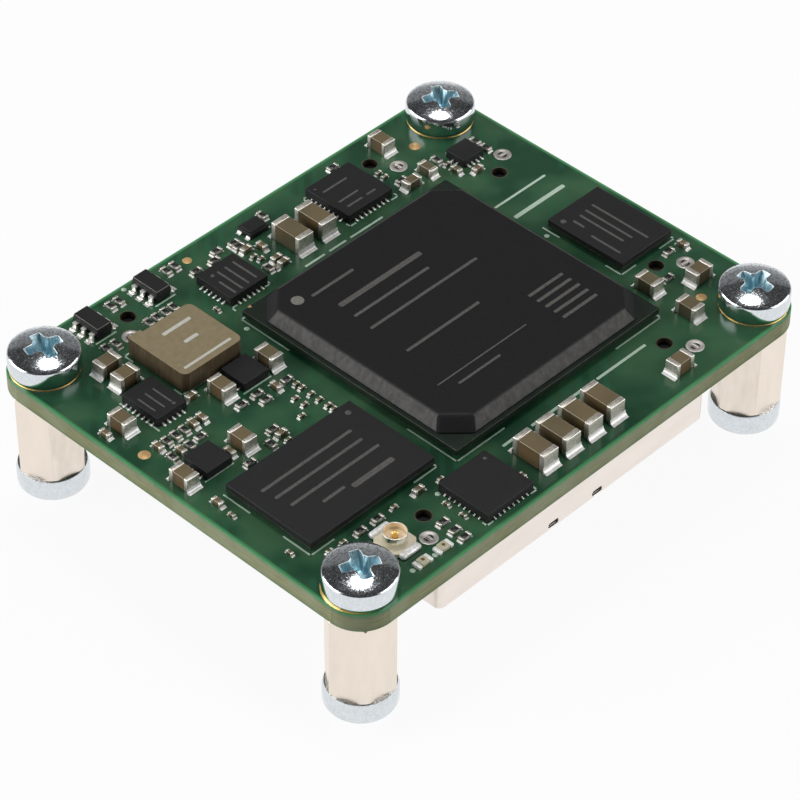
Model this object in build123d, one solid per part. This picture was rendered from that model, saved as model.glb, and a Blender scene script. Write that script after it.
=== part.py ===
from build123d import *
import os

# System on module on four standoffs, standing on its lower screw heads.
# Millimetres. X runs along the long edge, Y along the short edge, Z is up.
# The origin is the centre of the footprint, at the lowest point of the lower screws.

# Circuit board
BOARD_LENGTH = 50.0
BOARD_WIDTH = 40.0
BOARD_THICKNESS = 1.6
BOARD_CORNER_RADIUS = 3.0
SCREW_INSET = 3.0
SCREW_HOLE_DIAMETER = 3.2

# Facets round the screws, holes and bores, which repeat often, and round the little pegs and caps
ROUND_SIDES = 18
LITTLE_ROUND_SIDES = 12

# Cross-recess pan-head screws
HEAD_DIAMETER = 5.8
HEAD_SIDE_HEIGHT = 1.55
HEAD_DOME_HEIGHT = 0.85
HEAD_CROWN_DIAMETER = 2.2
HEAD_SHOULDER_DIAMETER = 4.3
SHANK_DIAMETER = 3.0
SHANK_ENGAGEMENT = 3.4
RECESS_SPAN = 3.4
RECESS_ARM_WIDTH = 0.9
RECESS_DEPTH = 1.5
RECESS_TIP_SPAN = 1.6
RECESS_TURN_FRONT_LEFT = 64.0
RECESS_TURN_FRONT_RIGHT = 5.0
RECESS_TURN_REAR_LEFT = 77.0
RECESS_TURN_REAR_RIGHT = 61.0

# Hexagonal standoffs
STANDOFF_LENGTH = 8.0
STANDOFF_ACROSS_FLATS = 5.0
STANDOFF_END_CHAMFER = 0.25
THREAD_CLEARANCE = 0.03
STANDOFF_TURN_FRONT_LEFT = 52.0
STANDOFF_TURN_FRONT_RIGHT = 57.0
STANDOFF_TURN_REAR_LEFT = 49.0
STANDOFF_TURN_REAR_RIGHT = 50.0

# Processor: a large ball-grid package with a moulded cap
PROCESSOR_PLACE = (4.0, -1.3)
PROCESSOR_SIZE = 23.0
PROCESSOR_BASE_THICKNESS = 0.56
PROCESSOR_CAP_LEDGE = 0.28
PROCESSOR_CAP_HEIGHT = 1.17
PROCESSOR_CAP_DRAFT = 0.75
PROCESSOR_CAP_FOOT_CHAMFER = 2.3
PROCESSOR_CAP_TOP_CHAMFER = 1.4
PROCESSOR_BALL_PITCH = 1.0
PROCESSOR_BALL_COUNT = 22
PROCESSOR_BALL_DIAMETER = 0.6
PROCESSOR_BALL_HEIGHT = 0.42

# Memory and flash: small ball-grid packages
MEMORY_PLACE = (-15.6, -7.6)
MEMORY_LENGTH = 13.0
MEMORY_WIDTH = 9.0
MEMORY_MOULD_THICKNESS = 0.76
MEMORY_BALL_COLUMNS = 16
MEMORY_BALL_ROWS = 9
MEMORY_BALL_PITCH = 0.8
FLASH_PLACE = (20.5, -3.2)
FLASH_LENGTH = 6.0
FLASH_WIDTH = 8.0
FLASH_MOULD_THICKNESS = 0.72
FLASH_BALL_COLUMNS = 5
FLASH_BALL_ROWS = 5
FLASH_BALL_PITCH = 1.0
BALL_SIDES = 4
SMALL_BALL_DIAMETER = 0.4
SMALL_BALL_HEIGHT = 0.27

# Leadless packages, each with solder fillets along its sides
FILLET_WIDTH = 0.26
FILLET_REACH = 0.32
FILLET_RISE = 0.22
FILLET_PITCH = 0.5
NETWORK_CHIP_PLACE = (9.25, 15.1)
NETWORK_CHIP_SIZE = 5.0
NETWORK_CHIP_HEIGHT = 0.85
NETWORK_CHIP_PADS = 8
CLOCK_CHIP_PLACE = (-5.0, 13.95)
CLOCK_CHIP_SIZE = 4.0
CLOCK_CHIP_HEIGHT = 0.85
CLOCK_CHIP_PADS = 6
LOGIC_CHIP_PLACE = (-8.33, -16.57)
LOGIC_CHIP_SIZE = 5.0
LOGIC_CHIP_HEIGHT = 0.85
LOGIC_CHIP_PADS = 8
MAIN_REGULATOR_PLACE = (-19.1, 7.8)
MAIN_REGULATOR_LENGTH = 3.0
MAIN_REGULATOR_WIDTH = 4.0
MAIN_REGULATOR_HEIGHT = 0.85
MAIN_REGULATOR_END_PADS = 5
MAIN_REGULATOR_SIDE_PADS = 7
SMALL_REGULATOR_PLACE = (19.7, 12.0)
SMALL_REGULATOR_LENGTH = 2.3
SMALL_REGULATOR_WIDTH = 2.1
SMALL_REGULATOR_HEIGHT = 0.75
SMALL_REGULATOR_END_PADS = 4
SMALL_REGULATOR_SIDE_PADS = 2
POWER_MODULE_PLACES = [(-11.95, 5.33), (-20.75, 0.22)]
POWER_MODULE_SIZE = 2.6
POWER_MODULE_HEIGHT = 0.78
POWER_MODULE_PADS = 4

# Power inductor: a pressed composite block with a corner ear and two terminals under it
INDUCTOR_PLACE = (-13.5, 10.07)
INDUCTOR_LENGTH = 6.2
INDUCTOR_WIDTH = 6.1
INDUCTOR_HEIGHT = 1.87
INDUCTOR_CORNER_RADIUS = 0.6
INDUCTOR_EAR_LENGTH = 1.3
INDUCTOR_EAR_REACH = 0.3
INDUCTOR_TERMINAL_THICKNESS = 0.12
INDUCTOR_TERMINAL_WIDTH = 1.3
INDUCTOR_TERMINAL_INSET = 0.5

# Oscillator: a ceramic package with a metal lid and four corner fillets
OSCILLATOR_PLACE = (0.8, 17.55)
OSCILLATOR_LENGTH = 2.0
OSCILLATOR_WIDTH = 1.6
OSCILLATOR_HEIGHT = 0.5
OSCILLATOR_LID_THICKNESS = 0.1
OSCILLATOR_LID_INSET = 0.15
OSCILLATOR_FILLET_WIDTH = 0.6

# Six-pin chips with gull-wing leads
SIX_PIN_PLACES = [(-16.35, 17.77), (-10.1, 17.77)]
SIX_PIN_WIDTH = 1.55
SIX_PIN_LENGTH = 2.9
SIX_PIN_BODY_HEIGHT = 1.05
SIX_PIN_STAND = 0.08
SIX_PIN_PITCH = 0.95
SIX_PIN_SPAN = 2.8
LEAD_WIDTH = 0.4
LEAD_THICKNESS = 0.15
LEAD_FOOT = 0.42
LEAD_EXIT_HEIGHT = 0.6

# Coaxial antenna socket
SOCKET_PLACE = (-17.05, -15.65)
SOCKET_BASE_SIZE = 2.6
SOCKET_BASE_HEIGHT = 0.35
SOCKET_BASE_CHAMFER = 0.35
SOCKET_RING_DIAMETER = 2.0
SOCKET_RING_WALL = 0.1
SOCKET_RING_HEIGHT = 0.9
SOCKET_NECK_DIAMETER = 1.88
SOCKET_LIP_HEIGHT = 0.22
SOCKET_FOOT_WIDTH = 1.7
SOCKET_FOOT_REACH = 0.4
SOCKET_PIN_DIAMETER = 0.5
SOCKET_PIN_HEIGHT = 0.75

# Indicator lamps
LAMP_PLACES = [(-17.15, -18.55), (-15.0, -18.55)]
LAMP_LENGTH = 1.5
LAMP_WIDTH = 0.8
LAMP_END_HEIGHT = 0.3
LAMP_LENS_HEIGHT = 0.42
LAMP_END_LENGTH = 0.35

# Chip capacitors and resistors: length, width, height, metal end and solder foot of each size
BULK_CAPACITOR = (3.2, 1.6, 1.65, 0.5, 0.42)
MEDIUM_CAPACITOR = (2.0, 1.25, 1.25, 0.4, 0.36)
SMALL_CAPACITOR = (1.6, 0.85, 0.85, 0.3, 0.3)
LITTLE_CAPACITOR = (1.0, 0.5, 0.5, 0.25, 0)
TINY_CAPACITOR = (0.6, 0.3, 0.3, 0.15, 0)
RESISTOR = (1.0, 0.5, 0.35, 0.2, 0)
PLATING_STEP = 0.02
FOOT_CLIMB = 0.45

# Places of the chip parts from the board's centre: ALONG_X lie with their length along X
BULK_ALONG_Y = [(-3.18, -16.8), (-0.68, -16.8), (1.82, -16.8), (4.32, -16.8), (1.9, 14.15), (4.5, 14.15)]
MEDIUM_ALONG_X = [(-18.9, 11.25), (-18.9, 13.27), (21.25, -11.97), (12.0, -17.95)]
MEDIUM_ALONG_Y = [
    (-22.5, 7.7), (15.6, 17.6), (-14.6, 5.1), (-9.6, 5.1),
    (-23.4, -0.07), (-17.5, -0.15), (17.5, -10.03), (17.5, -14.25),
]
SMALL_ALONG_X = [(13.78, 12.37)]
SMALL_ALONG_Y = [(15.95, 12.65)]
LITTLE_ALONG_X = [
    (-16.6, 6.4), (19.0, 9.9), (-14.75, -1.5), (-12.0, -13.15),
    (-0.55, 13.5), (-0.5, 12.75), (-1.5, 16.0),
]
LITTLE_ALONG_Y = [
    (-24.0, 7.9), (-18.6, 4.05), (-17.7, 4.05), (-18.85, -0.2), (17.72, 11.05),
    (23.45, -8.45), (-22.2, 4.05), (-21.3, 2.5), (-11.25, 2.6), (-23.25, -3.5), (-0.3, 15.4),
]
RESISTORS_ALONG_X = [
    (-19.2, 2.65), (-14.55, 3.0), (-12.85, 3.05), (-12.85, 2.1), (-10.15, 2.6), (-14.85, -0.65),
    (-18.6, -2.1), (-18.05, -13.1), (-16.25, -13.1), (-13.15, -16.75), (-13.15, -17.95),
    (-13.15, -18.95), (10.85, 18.55), (13.6, 13.35), (22.0, -8.2), (19.5, -10.3),
    (-3.3, 17.55), (-4.2, 16.85), (-6.1, 16.9), (-1.6, 17.3), (-1.6, 16.7),
]
RESISTORS_ALONG_Y = [
    (-13.72, 18.6), (-12.85, 18.6), (-7.75, 18.6), (-6.85, 18.6), (-12.95, 15.0), (-12.1, 15.0),
    (-11.2, 15.0), (-10.35, 15.0), (-17.35, 15.1), (-16.45, 15.0), (-21.3, 4.05), (-20.4, 4.05),
    (-19.5, 4.05), (-22.2, 2.5), (-20.4, 2.5), (-16.05, -1.75), (17.55, 13.15), (21.6, 12.6),
    (21.6, 11.4), (-1.8, 13.1), (2.45, 18.2),
]
TINY_ALONG_X = [
    (-9.95, 1.75), (-9.95, 1.15), (-9.95, 0.15), (-9.95, -0.75), (-9.95, -1.7), (-9.95, -2.3),
    (-11.15, 0.65), (-11.15, -0.35), (-12.2, -1.1), (-14.8, -2.3), (-14.5, -13.05),
    (-19.75, -13.0), (-21.1, -12.95), (-9.9, -13.45), (-1.6, 15.0), (-1.4, 14.4),
    (13.0, 15.4), (13.0, 14.7), (17.8, 12.2),
]
TINY_ALONG_Y = [
    (-8.1, 12.4), (-23.4, -5.15), (-23.2, -11.0), (-11.5, -15.6),
    (-11.5, -17.3), (-5.3, -17.5), (-1.3, 12.8),
]

# Decoupling capacitors under the processor
UNDERSIDE_COLUMNS = 3
UNDERSIDE_ROWS = 3
UNDERSIDE_SPACING = 3.0

# Board-to-board connectors under the board
CONTACT_PITCH = 0.5
LONG_CONNECTOR_POSITIONS = 50
SHORT_CONNECTOR_POSITIONS = 30
LONG_CONNECTOR_OFFSET = 16.0
SHORT_CONNECTOR_OFFSET = 21.0
SHIELD_END_ALLOWANCE = 5.06
SHIELD_WIDTH = 4.66
SHIELD_HEIGHT = 5.0
SHIELD_WALL = 0.2
SHIELD_CORNER_RADIUS = 0.6
SHIELD_SLOT_LENGTH = 1.1
SHIELD_SLOT_HEIGHT = 0.34
SHIELD_SLOT_RAISE = 0.14
SHIELD_SLOT_SPACING = 4.96
TAB_OFFSET = -1.05
TAB_WIDTH = 0.7
TAB_CLEARANCE = 0.1
TAB_SOLDER_DIAMETER = 1.5
TAB_SOLDER_RISE = 0.1
PEG_OFFSET = 0.86
PEG_SPACING_ALLOWANCE = 2.0
PEG_HOLE_DIAMETER = 1.25
PEG_CLEARANCE = 0.05
PEG_LENGTH = 1.0
HOUSING_CLEARANCE = 0.05
HOUSING_BASE_HEIGHT = 1.9
HOUSING_RECESS = 0.3
HOUSING_END_LENGTH = 1.5
RIB_THICKNESS = 0.85
RIB_OFFSETS = [-1.3, 0.5]

# Heights worked out from the sizes above
HEAD_HEIGHT = HEAD_SIDE_HEIGHT + HEAD_DOME_HEIGHT
BOARD_UNDERSIDE = HEAD_HEIGHT + STANDOFF_LENGTH
BOARD_TOP = BOARD_UNDERSIDE + BOARD_THICKNESS
SCREW_X = BOARD_LENGTH / 2 - SCREW_INSET
SCREW_Y = BOARD_WIDTH / 2 - SCREW_INSET
BORE_DIAMETER = SHANK_DIAMETER + 2 * THREAD_CLEARANCE

ON_FLOOR = (Align.CENTER, Align.CENTER, Align.MIN)

# Corners in the order front left, front right, rear left, rear right
CORNERS = [(-SCREW_X, -SCREW_Y), (SCREW_X, -SCREW_Y), (-SCREW_X, SCREW_Y), (SCREW_X, SCREW_Y)]
RECESS_TURNS = [
    RECESS_TURN_FRONT_LEFT, RECESS_TURN_FRONT_RIGHT, RECESS_TURN_REAR_LEFT, RECESS_TURN_REAR_RIGHT,
]
STANDOFF_TURNS = [
    STANDOFF_TURN_FRONT_LEFT, STANDOFF_TURN_FRONT_RIGHT,
    STANDOFF_TURN_REAR_LEFT, STANDOFF_TURN_REAR_RIGHT,
]


def save(node, solids):
    """Writes one node, made of one or more separate solids."""
    export_step(Compound(children=list(solids)), f"parts/{node}.step")


def on_board(place, turn=0.0):
    """Location on the board's top face, at a place given from the board's centre."""
    return Pos(*place, BOARD_TOP) * Rot(0, 0, turn)


def block(length, width, height):
    """Rectangular block standing on the plane z = 0."""
    return Box(length, width, height, align=ON_FLOOR)


def disc(diameter, height):
    """Round disc or rod standing on the plane z = 0."""
    return Cylinder(diameter / 2, height, align=ON_FLOOR)


def round_outline(diameter, sides=ROUND_SIDES):
    """Many-sided outline that fits inside a circle of this diameter."""
    return RegularPolygon(diameter / 2, sides)


def round_hole(diameter, depth, sides=ROUND_SIDES):
    """Many-sided hole with room for a circle of this diameter."""
    return extrude(RegularPolygon(diameter / 2, sides, major_radius=False), depth)


def side_bar(points, width):
    """Bar of constant width along Y whose outline is drawn in the XZ plane."""
    outline = Plane.XZ * make_face(Polyline(*points, close=True))
    return Pos(0, width / 2, 0) * extrude(outline, width)


def dome_drop(diameter):
    """Drop below the crown at this diameter, on the ball that passes through edge and crown."""
    edge = HEAD_DIAMETER / 2
    crown = HEAD_CROWN_DIAMETER / 2
    centre_drop = (edge ** 2 - crown ** 2 + HEAD_DOME_HEIGHT ** 2) / (2 * HEAD_DOME_HEIGHT)
    ball = (crown ** 2 + centre_drop ** 2) ** 0.5
    return centre_drop - (ball ** 2 - (diameter / 2) ** 2) ** 0.5


def cross_recess():
    """Cross whose four wings narrow towards the tip of the driver."""
    mouth = RECESS_SPAN / 2
    tip = RECESS_TIP_SPAN / 2
    floor = HEAD_HEIGHT - RECESS_DEPTH
    wing = side_bar([(-mouth, HEAD_HEIGHT), (mouth, HEAD_HEIGHT), (tip, floor), (-tip, floor)], RECESS_ARM_WIDTH)
    return wing + Rot(0, 0, 90) * wing


def bevel_top(solid, inset, fall):
    """Slopes the top rim, by an inset on the top face and a fall along the sides under it."""
    top = solid.faces().sort_by(Axis.Z)[-1]
    return chamfer(top.edges(), inset, fall, reference=top)


def screw(shank_length):
    """Pan-head screw with its bearing face on z = 0, head up and shank down."""
    drop = dome_drop(HEAD_SHOULDER_DIAMETER)
    lower_run = (HEAD_DIAMETER - HEAD_SHOULDER_DIAMETER) / 2
    upper_run = (HEAD_SHOULDER_DIAMETER - HEAD_CROWN_DIAMETER) / 2
    beyond = drop * lower_run / (HEAD_DOME_HEIGHT - drop)
    head = extrude(round_outline(HEAD_DIAMETER), HEAD_HEIGHT)
    head = bevel_top(head, lower_run + beyond, HEAD_DOME_HEIGHT)
    head = bevel_top(head, upper_run - beyond, (beyond ** 2 + drop ** 2) ** 0.5)
    return head + extrude(round_outline(SHANK_DIAMETER), -shank_length) - cross_recess()


def top_screws():
    one = screw(BOARD_THICKNESS + SHANK_ENGAGEMENT)
    return [Pos(x, y, BOARD_TOP) * Rot(0, 0, turn) * one for (x, y), turn in zip(CORNERS, RECESS_TURNS)]


def bottom_screws():
    one = Rot(180, 0, 0) * screw(SHANK_ENGAGEMENT)
    return [Pos(x, y, HEAD_HEIGHT) * Rot(0, 0, turn) * one for (x, y), turn in zip(CORNERS, RECESS_TURNS)]


def standoff():
    """Hexagonal spacer with chamfered ends and a bore right through."""
    hexagon = extrude(RegularPolygon(STANDOFF_ACROSS_FLATS / 3 ** 0.5, 6), STANDOFF_LENGTH)
    rims = hexagon.edges().filter_by(Axis.Z, reverse=True)
    return chamfer(rims, STANDOFF_END_CHAMFER) - round_hole(BORE_DIAMETER, STANDOFF_LENGTH)


def standoffs():
    one = standoff()
    return [Pos(x, y, HEAD_HEIGHT) * Rot(0, 0, turn) * one for (x, y), turn in zip(CORNERS, STANDOFF_TURNS)]


def connectors():
    """Location and number of positions of each connector, seen with its mouth down."""
    under = Pos(0, 0, BOARD_UNDERSIDE)
    front = under * Pos(0, -LONG_CONNECTOR_OFFSET, 0)
    rear = under * Pos(0, LONG_CONNECTOR_OFFSET, 0)
    right = under * Pos(SHORT_CONNECTOR_OFFSET, 0, 0) * Rot(0, 0, 90)
    return {
        "front": (front, LONG_CONNECTOR_POSITIONS),
        "rear": (rear, LONG_CONNECTOR_POSITIONS),
        "right": (right, SHORT_CONNECTOR_POSITIONS),
    }


def shield_length(positions):
    return positions * CONTACT_PITCH + SHIELD_END_ALLOWANCE


def peg_places(positions):
    half = (positions * CONTACT_PITCH + PEG_SPACING_ALLOWANCE) / 2
    return [Pos(-half, PEG_OFFSET, 0), Pos(half, PEG_OFFSET, 0)]


def tab_places(positions):
    half = (shield_length(positions) - SHIELD_WALL) / 2
    return [Pos(-half, TAB_OFFSET, 0), Pos(half, TAB_OFFSET, 0)]


def circuit_board():
    """Board with its screw holes, peg holes and shield-tab slots."""
    outline = RectangleRounded(BOARD_LENGTH, BOARD_WIDTH, BOARD_CORNER_RADIUS)
    board = Pos(0, 0, BOARD_UNDERSIDE) * extrude(outline, BOARD_THICKNESS)
    for x, y in CORNERS:
        board -= Pos(x, y, BOARD_UNDERSIDE) * round_hole(SCREW_HOLE_DIAMETER, BOARD_THICKNESS)
    for frame, positions in connectors().values():
        for place in peg_places(positions):
            board -= frame * place * round_hole(PEG_HOLE_DIAMETER, BOARD_THICKNESS, LITTLE_ROUND_SIDES)
        for place in tab_places(positions):
            slot = block(SHIELD_WALL + 2 * TAB_CLEARANCE, TAB_WIDTH + 2 * TAB_CLEARANCE, BOARD_THICKNESS)
            board -= frame * place * slot
    return [board]


def shield_tab_solder():
    """Solder that covers each tab slot on the board's top face."""
    cap = extrude(round_outline(TAB_SOLDER_DIAMETER, LITTLE_ROUND_SIDES), TAB_SOLDER_RISE)
    cap = Pos(0, 0, BOARD_THICKNESS) * cap
    return [frame * place * cap for frame, count in connectors().values() for place in tab_places(count)]


def connector_shield(positions):
    """Bent sheet around the housing, open at the mouth, with end tabs and two slots a side."""
    length = shield_length(positions)
    outer = RectangleRounded(length, SHIELD_WIDTH, SHIELD_CORNER_RADIUS)
    hollow = Rectangle(length - 2 * SHIELD_WALL, SHIELD_WIDTH - 2 * SHIELD_WALL)
    inner = chamfer(hollow.vertices(), SHIELD_CORNER_RADIUS - SHIELD_WALL)
    wall = Pos(0, 0, -SHIELD_HEIGHT) * extrude(outer - inner, SHIELD_HEIGHT)
    for side in (-1, 1):
        slot = block(SHIELD_SLOT_LENGTH, SHIELD_WIDTH, SHIELD_SLOT_HEIGHT)
        wall -= Pos(side * SHIELD_SLOT_SPACING / 2, 0, SHIELD_SLOT_RAISE - SHIELD_HEIGHT) * slot
    tab = block(SHIELD_WALL, TAB_WIDTH, BOARD_THICKNESS)
    for place in tab_places(positions):
        wall += place * tab
    return wall


def connector_housing(positions):
    """Moulding that mates with its own kind: a floor, two ribs, two end blocks and two pegs."""
    gap = 2 * (SHIELD_WALL + HOUSING_CLEARANCE)
    length = shield_length(positions) - gap
    width = SHIELD_WIDTH - gap
    depth = SHIELD_HEIGHT - HOUSING_RECESS
    corner = SHIELD_CORNER_RADIUS - SHIELD_WALL
    outline = chamfer(Rectangle(length, width).vertices(), corner)
    housing = extrude(outline, -HOUSING_BASE_HEIGHT)
    for side in (-1, 1):
        end = block(HOUSING_END_LENGTH, width - 2 * corner, depth)
        housing += Pos(side * (length - HOUSING_END_LENGTH) / 2, 0, -depth) * end
    for offset in RIB_OFFSETS:
        rib = block(length - 2 * HOUSING_END_LENGTH, RIB_THICKNESS, depth)
        housing += Pos(0, offset, -depth) * rib
    peg = extrude(round_outline(PEG_HOLE_DIAMETER - 2 * PEG_CLEARANCE, LITTLE_ROUND_SIDES), PEG_LENGTH)
    for place in peg_places(positions):
        housing += place * peg
    return housing


def ball_ring(columns, rows, pitch, diameter, height):
    """Outermost ring of a ball grid, as short posts of solder."""
    post = extrude(RegularPolygon(diameter / 2, BALL_SIDES), height)
    posts = []
    for column in range(columns):
        for row in range(rows):
            if column in (0, columns - 1) or row in (0, rows - 1):
                x = (column - (columns - 1) / 2) * pitch
                y = (row - (rows - 1) / 2) * pitch
                posts.append(Pos(x, y, 0) * post)
    return posts


def chamfered_square(size, cut):
    square = Rectangle(size, size)
    return chamfer(square.vertices(), cut)


def processor():
    """Package base board and its moulded cap with sloping sides and cut corners."""
    stand = on_board(PROCESSOR_PLACE) * Pos(0, 0, PROCESSOR_BALL_HEIGHT)
    base = stand * block(PROCESSOR_SIZE, PROCESSOR_SIZE, PROCESSOR_BASE_THICKNESS)
    foot_size = PROCESSOR_SIZE - 2 * PROCESSOR_CAP_LEDGE
    top_size = foot_size - 2 * PROCESSOR_CAP_DRAFT
    foot = chamfered_square(foot_size, PROCESSOR_CAP_FOOT_CHAMFER)
    top = Pos(0, 0, PROCESSOR_CAP_HEIGHT) * chamfered_square(top_size, PROCESSOR_CAP_TOP_CHAMFER)
    cap = stand * Pos(0, 0, PROCESSOR_BASE_THICKNESS) * loft([foot, top], ruled=True)
    ring = ball_ring(
        PROCESSOR_BALL_COUNT, PROCESSOR_BALL_COUNT, PROCESSOR_BALL_PITCH,
        PROCESSOR_BALL_DIAMETER, PROCESSOR_BALL_HEIGHT,
    )
    return [base], [cap], [on_board(PROCESSOR_PLACE) * ball for ball in ring]


def ball_package(place, length, width, thickness, columns, rows, pitch):
    """Thin moulded package standing on its ring of solder balls."""
    body = on_board(place) * Pos(0, 0, SMALL_BALL_HEIGHT) * block(length, width, thickness)
    ring = ball_ring(columns, rows, pitch, SMALL_BALL_DIAMETER, SMALL_BALL_HEIGHT)
    return [body], [on_board(place) * ball for ball in ring]


def fillet_row(count, pitch, side, along, width=FILLET_WIDTH):
    """Row of solder fillets against one side of a package; side is the distance to its face."""
    wedge = side_bar([(0, 0), (FILLET_REACH, 0), (0, FILLET_RISE)], width)
    return [Rot(0, 0, along) * Pos(side, (i - (count - 1) / 2) * pitch, 0) * wedge for i in range(count)]


def leadless_chip(place, length, width, height, end_pads, side_pads, pitch=FILLET_PITCH):
    """Flat moulded package with solder fillets: end_pads front and rear, side_pads left and right."""
    frame = on_board(place)
    rows = fillet_row(side_pads, pitch, length / 2, 0) + fillet_row(side_pads, pitch, length / 2, 180)
    rows += fillet_row(end_pads, pitch, width / 2, 90) + fillet_row(end_pads, pitch, width / 2, 270)
    return [frame * block(length, width, height)], [frame * wedge for wedge in rows]


def power_inductor():
    """Pressed block with rounded corners and a corner ear, standing on two flat terminals."""
    frame = on_board(INDUCTOR_PLACE)
    footprint = RectangleRounded(INDUCTOR_LENGTH, INDUCTOR_WIDTH, INDUCTOR_CORNER_RADIUS)
    ear_centre = (INDUCTOR_EAR_LENGTH - INDUCTOR_LENGTH) / 2
    ear = Pos(ear_centre, INDUCTOR_WIDTH / 2) * Rectangle(INDUCTOR_EAR_LENGTH, 2 * INDUCTOR_EAR_REACH)
    body = extrude(footprint + ear, INDUCTOR_HEIGHT - INDUCTOR_TERMINAL_THICKNESS)
    body = frame * Pos(0, 0, INDUCTOR_TERMINAL_THICKNESS) * body
    reach = INDUCTOR_LENGTH / 2 - INDUCTOR_TERMINAL_INSET - INDUCTOR_TERMINAL_WIDTH / 2
    strip_length = INDUCTOR_WIDTH - 2 * INDUCTOR_TERMINAL_INSET
    strip = block(INDUCTOR_TERMINAL_WIDTH, strip_length, INDUCTOR_TERMINAL_THICKNESS)
    return [body], [frame * Pos(side * reach, 0, 0) * strip for side in (-1, 1)]


def oscillator():
    frame = on_board(OSCILLATOR_PLACE)
    body = frame * block(OSCILLATOR_LENGTH, OSCILLATOR_WIDTH, OSCILLATOR_HEIGHT)
    lid = block(
        OSCILLATOR_LENGTH - 2 * OSCILLATOR_LID_INSET,
        OSCILLATOR_WIDTH - 2 * OSCILLATOR_LID_INSET,
        OSCILLATOR_LID_THICKNESS,
    )
    lid = frame * Pos(0, 0, OSCILLATOR_HEIGHT) * lid
    gap = OSCILLATOR_WIDTH - OSCILLATOR_FILLET_WIDTH
    wedges = []
    for along in (0, 180):
        wedges += fillet_row(2, gap, OSCILLATOR_LENGTH / 2, along, OSCILLATOR_FILLET_WIDTH)
    return [body], [lid], [frame * wedge for wedge in wedges]


def gull_wing_lead():
    """One bent lead on the +X side: out of the body, down to the board and along it."""
    body = SIX_PIN_WIDTH / 2
    tip = SIX_PIN_SPAN / 2
    knee = tip - LEAD_FOOT
    rise = LEAD_EXIT_HEIGHT
    points = [
        (body, rise), (knee + LEAD_THICKNESS, rise), (knee + LEAD_THICKNESS, LEAD_THICKNESS),
        (tip, LEAD_THICKNESS), (tip, 0), (knee, 0), (knee, rise - LEAD_THICKNESS),
        (body, rise - LEAD_THICKNESS),
    ]
    return side_bar(points, LEAD_WIDTH)


def six_pin_chips():
    """Moulded bodies that widen at the parting line, with three leads on each long side."""
    half = SIX_PIN_WIDTH / 2
    top = SIX_PIN_STAND + SIX_PIN_BODY_HEIGHT
    parting = LEAD_EXIT_HEIGHT
    draft = LEAD_THICKNESS / 2
    outline = [
        (-half + draft, SIX_PIN_STAND), (half - draft, SIX_PIN_STAND), (half, parting),
        (half - draft, top), (-half + draft, top), (-half, parting),
    ]
    body = side_bar(outline, SIX_PIN_LENGTH)
    lead = gull_wing_lead()
    bodies = []
    leads = []
    for place in SIX_PIN_PLACES:
        frame = on_board(place)
        bodies.append(frame * body)
        for turn in (0, 180):
            for row in (-1, 0, 1):
                leads.append(frame * Rot(0, 0, turn) * Pos(0, row * SIX_PIN_PITCH, 0) * lead)
    return bodies, leads


def coax_socket():
    """Moulded base, plated ring with a snap lip, two ground feet and a centre pin."""
    frame = on_board(SOCKET_PLACE)
    square = chamfer(Rectangle(SOCKET_BASE_SIZE, SOCKET_BASE_SIZE).vertices(), SOCKET_BASE_CHAMFER)
    base = extrude(square, SOCKET_BASE_HEIGHT)
    shelf = Pos(0, 0, SOCKET_BASE_HEIGHT)
    outer = SOCKET_RING_DIAMETER / 2
    inner = outer - SOCKET_RING_WALL
    neck = SOCKET_NECK_DIAMETER / 2
    lip = SOCKET_RING_HEIGHT - SOCKET_LIP_HEIGHT
    outline = [
        (inner, 0), (neck, 0), (neck, lip), (outer, lip), (outer, SOCKET_RING_HEIGHT),
        (inner, SOCKET_RING_HEIGHT),
    ]
    shell = shelf * revolve(Plane.XZ * make_face(Polyline(*outline, close=True)), Axis.Z)
    foot = block(SOCKET_FOOT_WIDTH, SOCKET_FOOT_REACH, SOCKET_BASE_HEIGHT)
    feet = [Pos(0, side * (SOCKET_BASE_SIZE + SOCKET_FOOT_REACH) / 2, 0) * foot for side in (-1, 1)]
    pin = shelf * disc(SOCKET_PIN_DIAMETER, SOCKET_PIN_HEIGHT)
    return [frame * base], [frame * shell], [frame * foot for foot in feet], [frame * pin]


def lamps():
    """Clear lens blocks between low metal ends."""
    lens_length = LAMP_LENGTH - 2 * LAMP_END_LENGTH
    lens = block(lens_length, LAMP_WIDTH, LAMP_LENS_HEIGHT)
    end = block(LAMP_END_LENGTH, LAMP_WIDTH, LAMP_END_HEIGHT)
    reach = (LAMP_LENGTH - LAMP_END_LENGTH) / 2
    lenses = [on_board(place) * lens for place in LAMP_PLACES]
    ends = [on_board(place) * Pos(side * reach, 0, 0) * end for place in LAMP_PLACES for side in (-1, 1)]
    return lenses, ends


def chip_part(size):
    """Ceramic body along X and its two metal ends, with a sloping solder foot where one is given."""
    length, width, height, end, foot = size
    half = length / 2
    step = PLATING_STEP
    core = Pos(0, 0, step) * block(length - 2 * end, width - 2 * step, height - 2 * step)
    right = Pos(half - end / 2, 0, 0) * block(end, width, height)
    if foot:
        right += side_bar([(half, 0), (half + foot, 0), (half, height * FOOT_CLIMB)], width)
    return core, [right, Rot(0, 0, 180) * right]


def chip_parts(size, along_x, along_y):
    """All the parts of one size: their bodies, and their ends."""
    core, ends = chip_part(size)
    frames = [on_board(place) for place in along_x] + [on_board(place, 90) for place in along_y]
    return [frame * core for frame in frames], [frame * end for frame in frames for end in ends]


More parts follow.
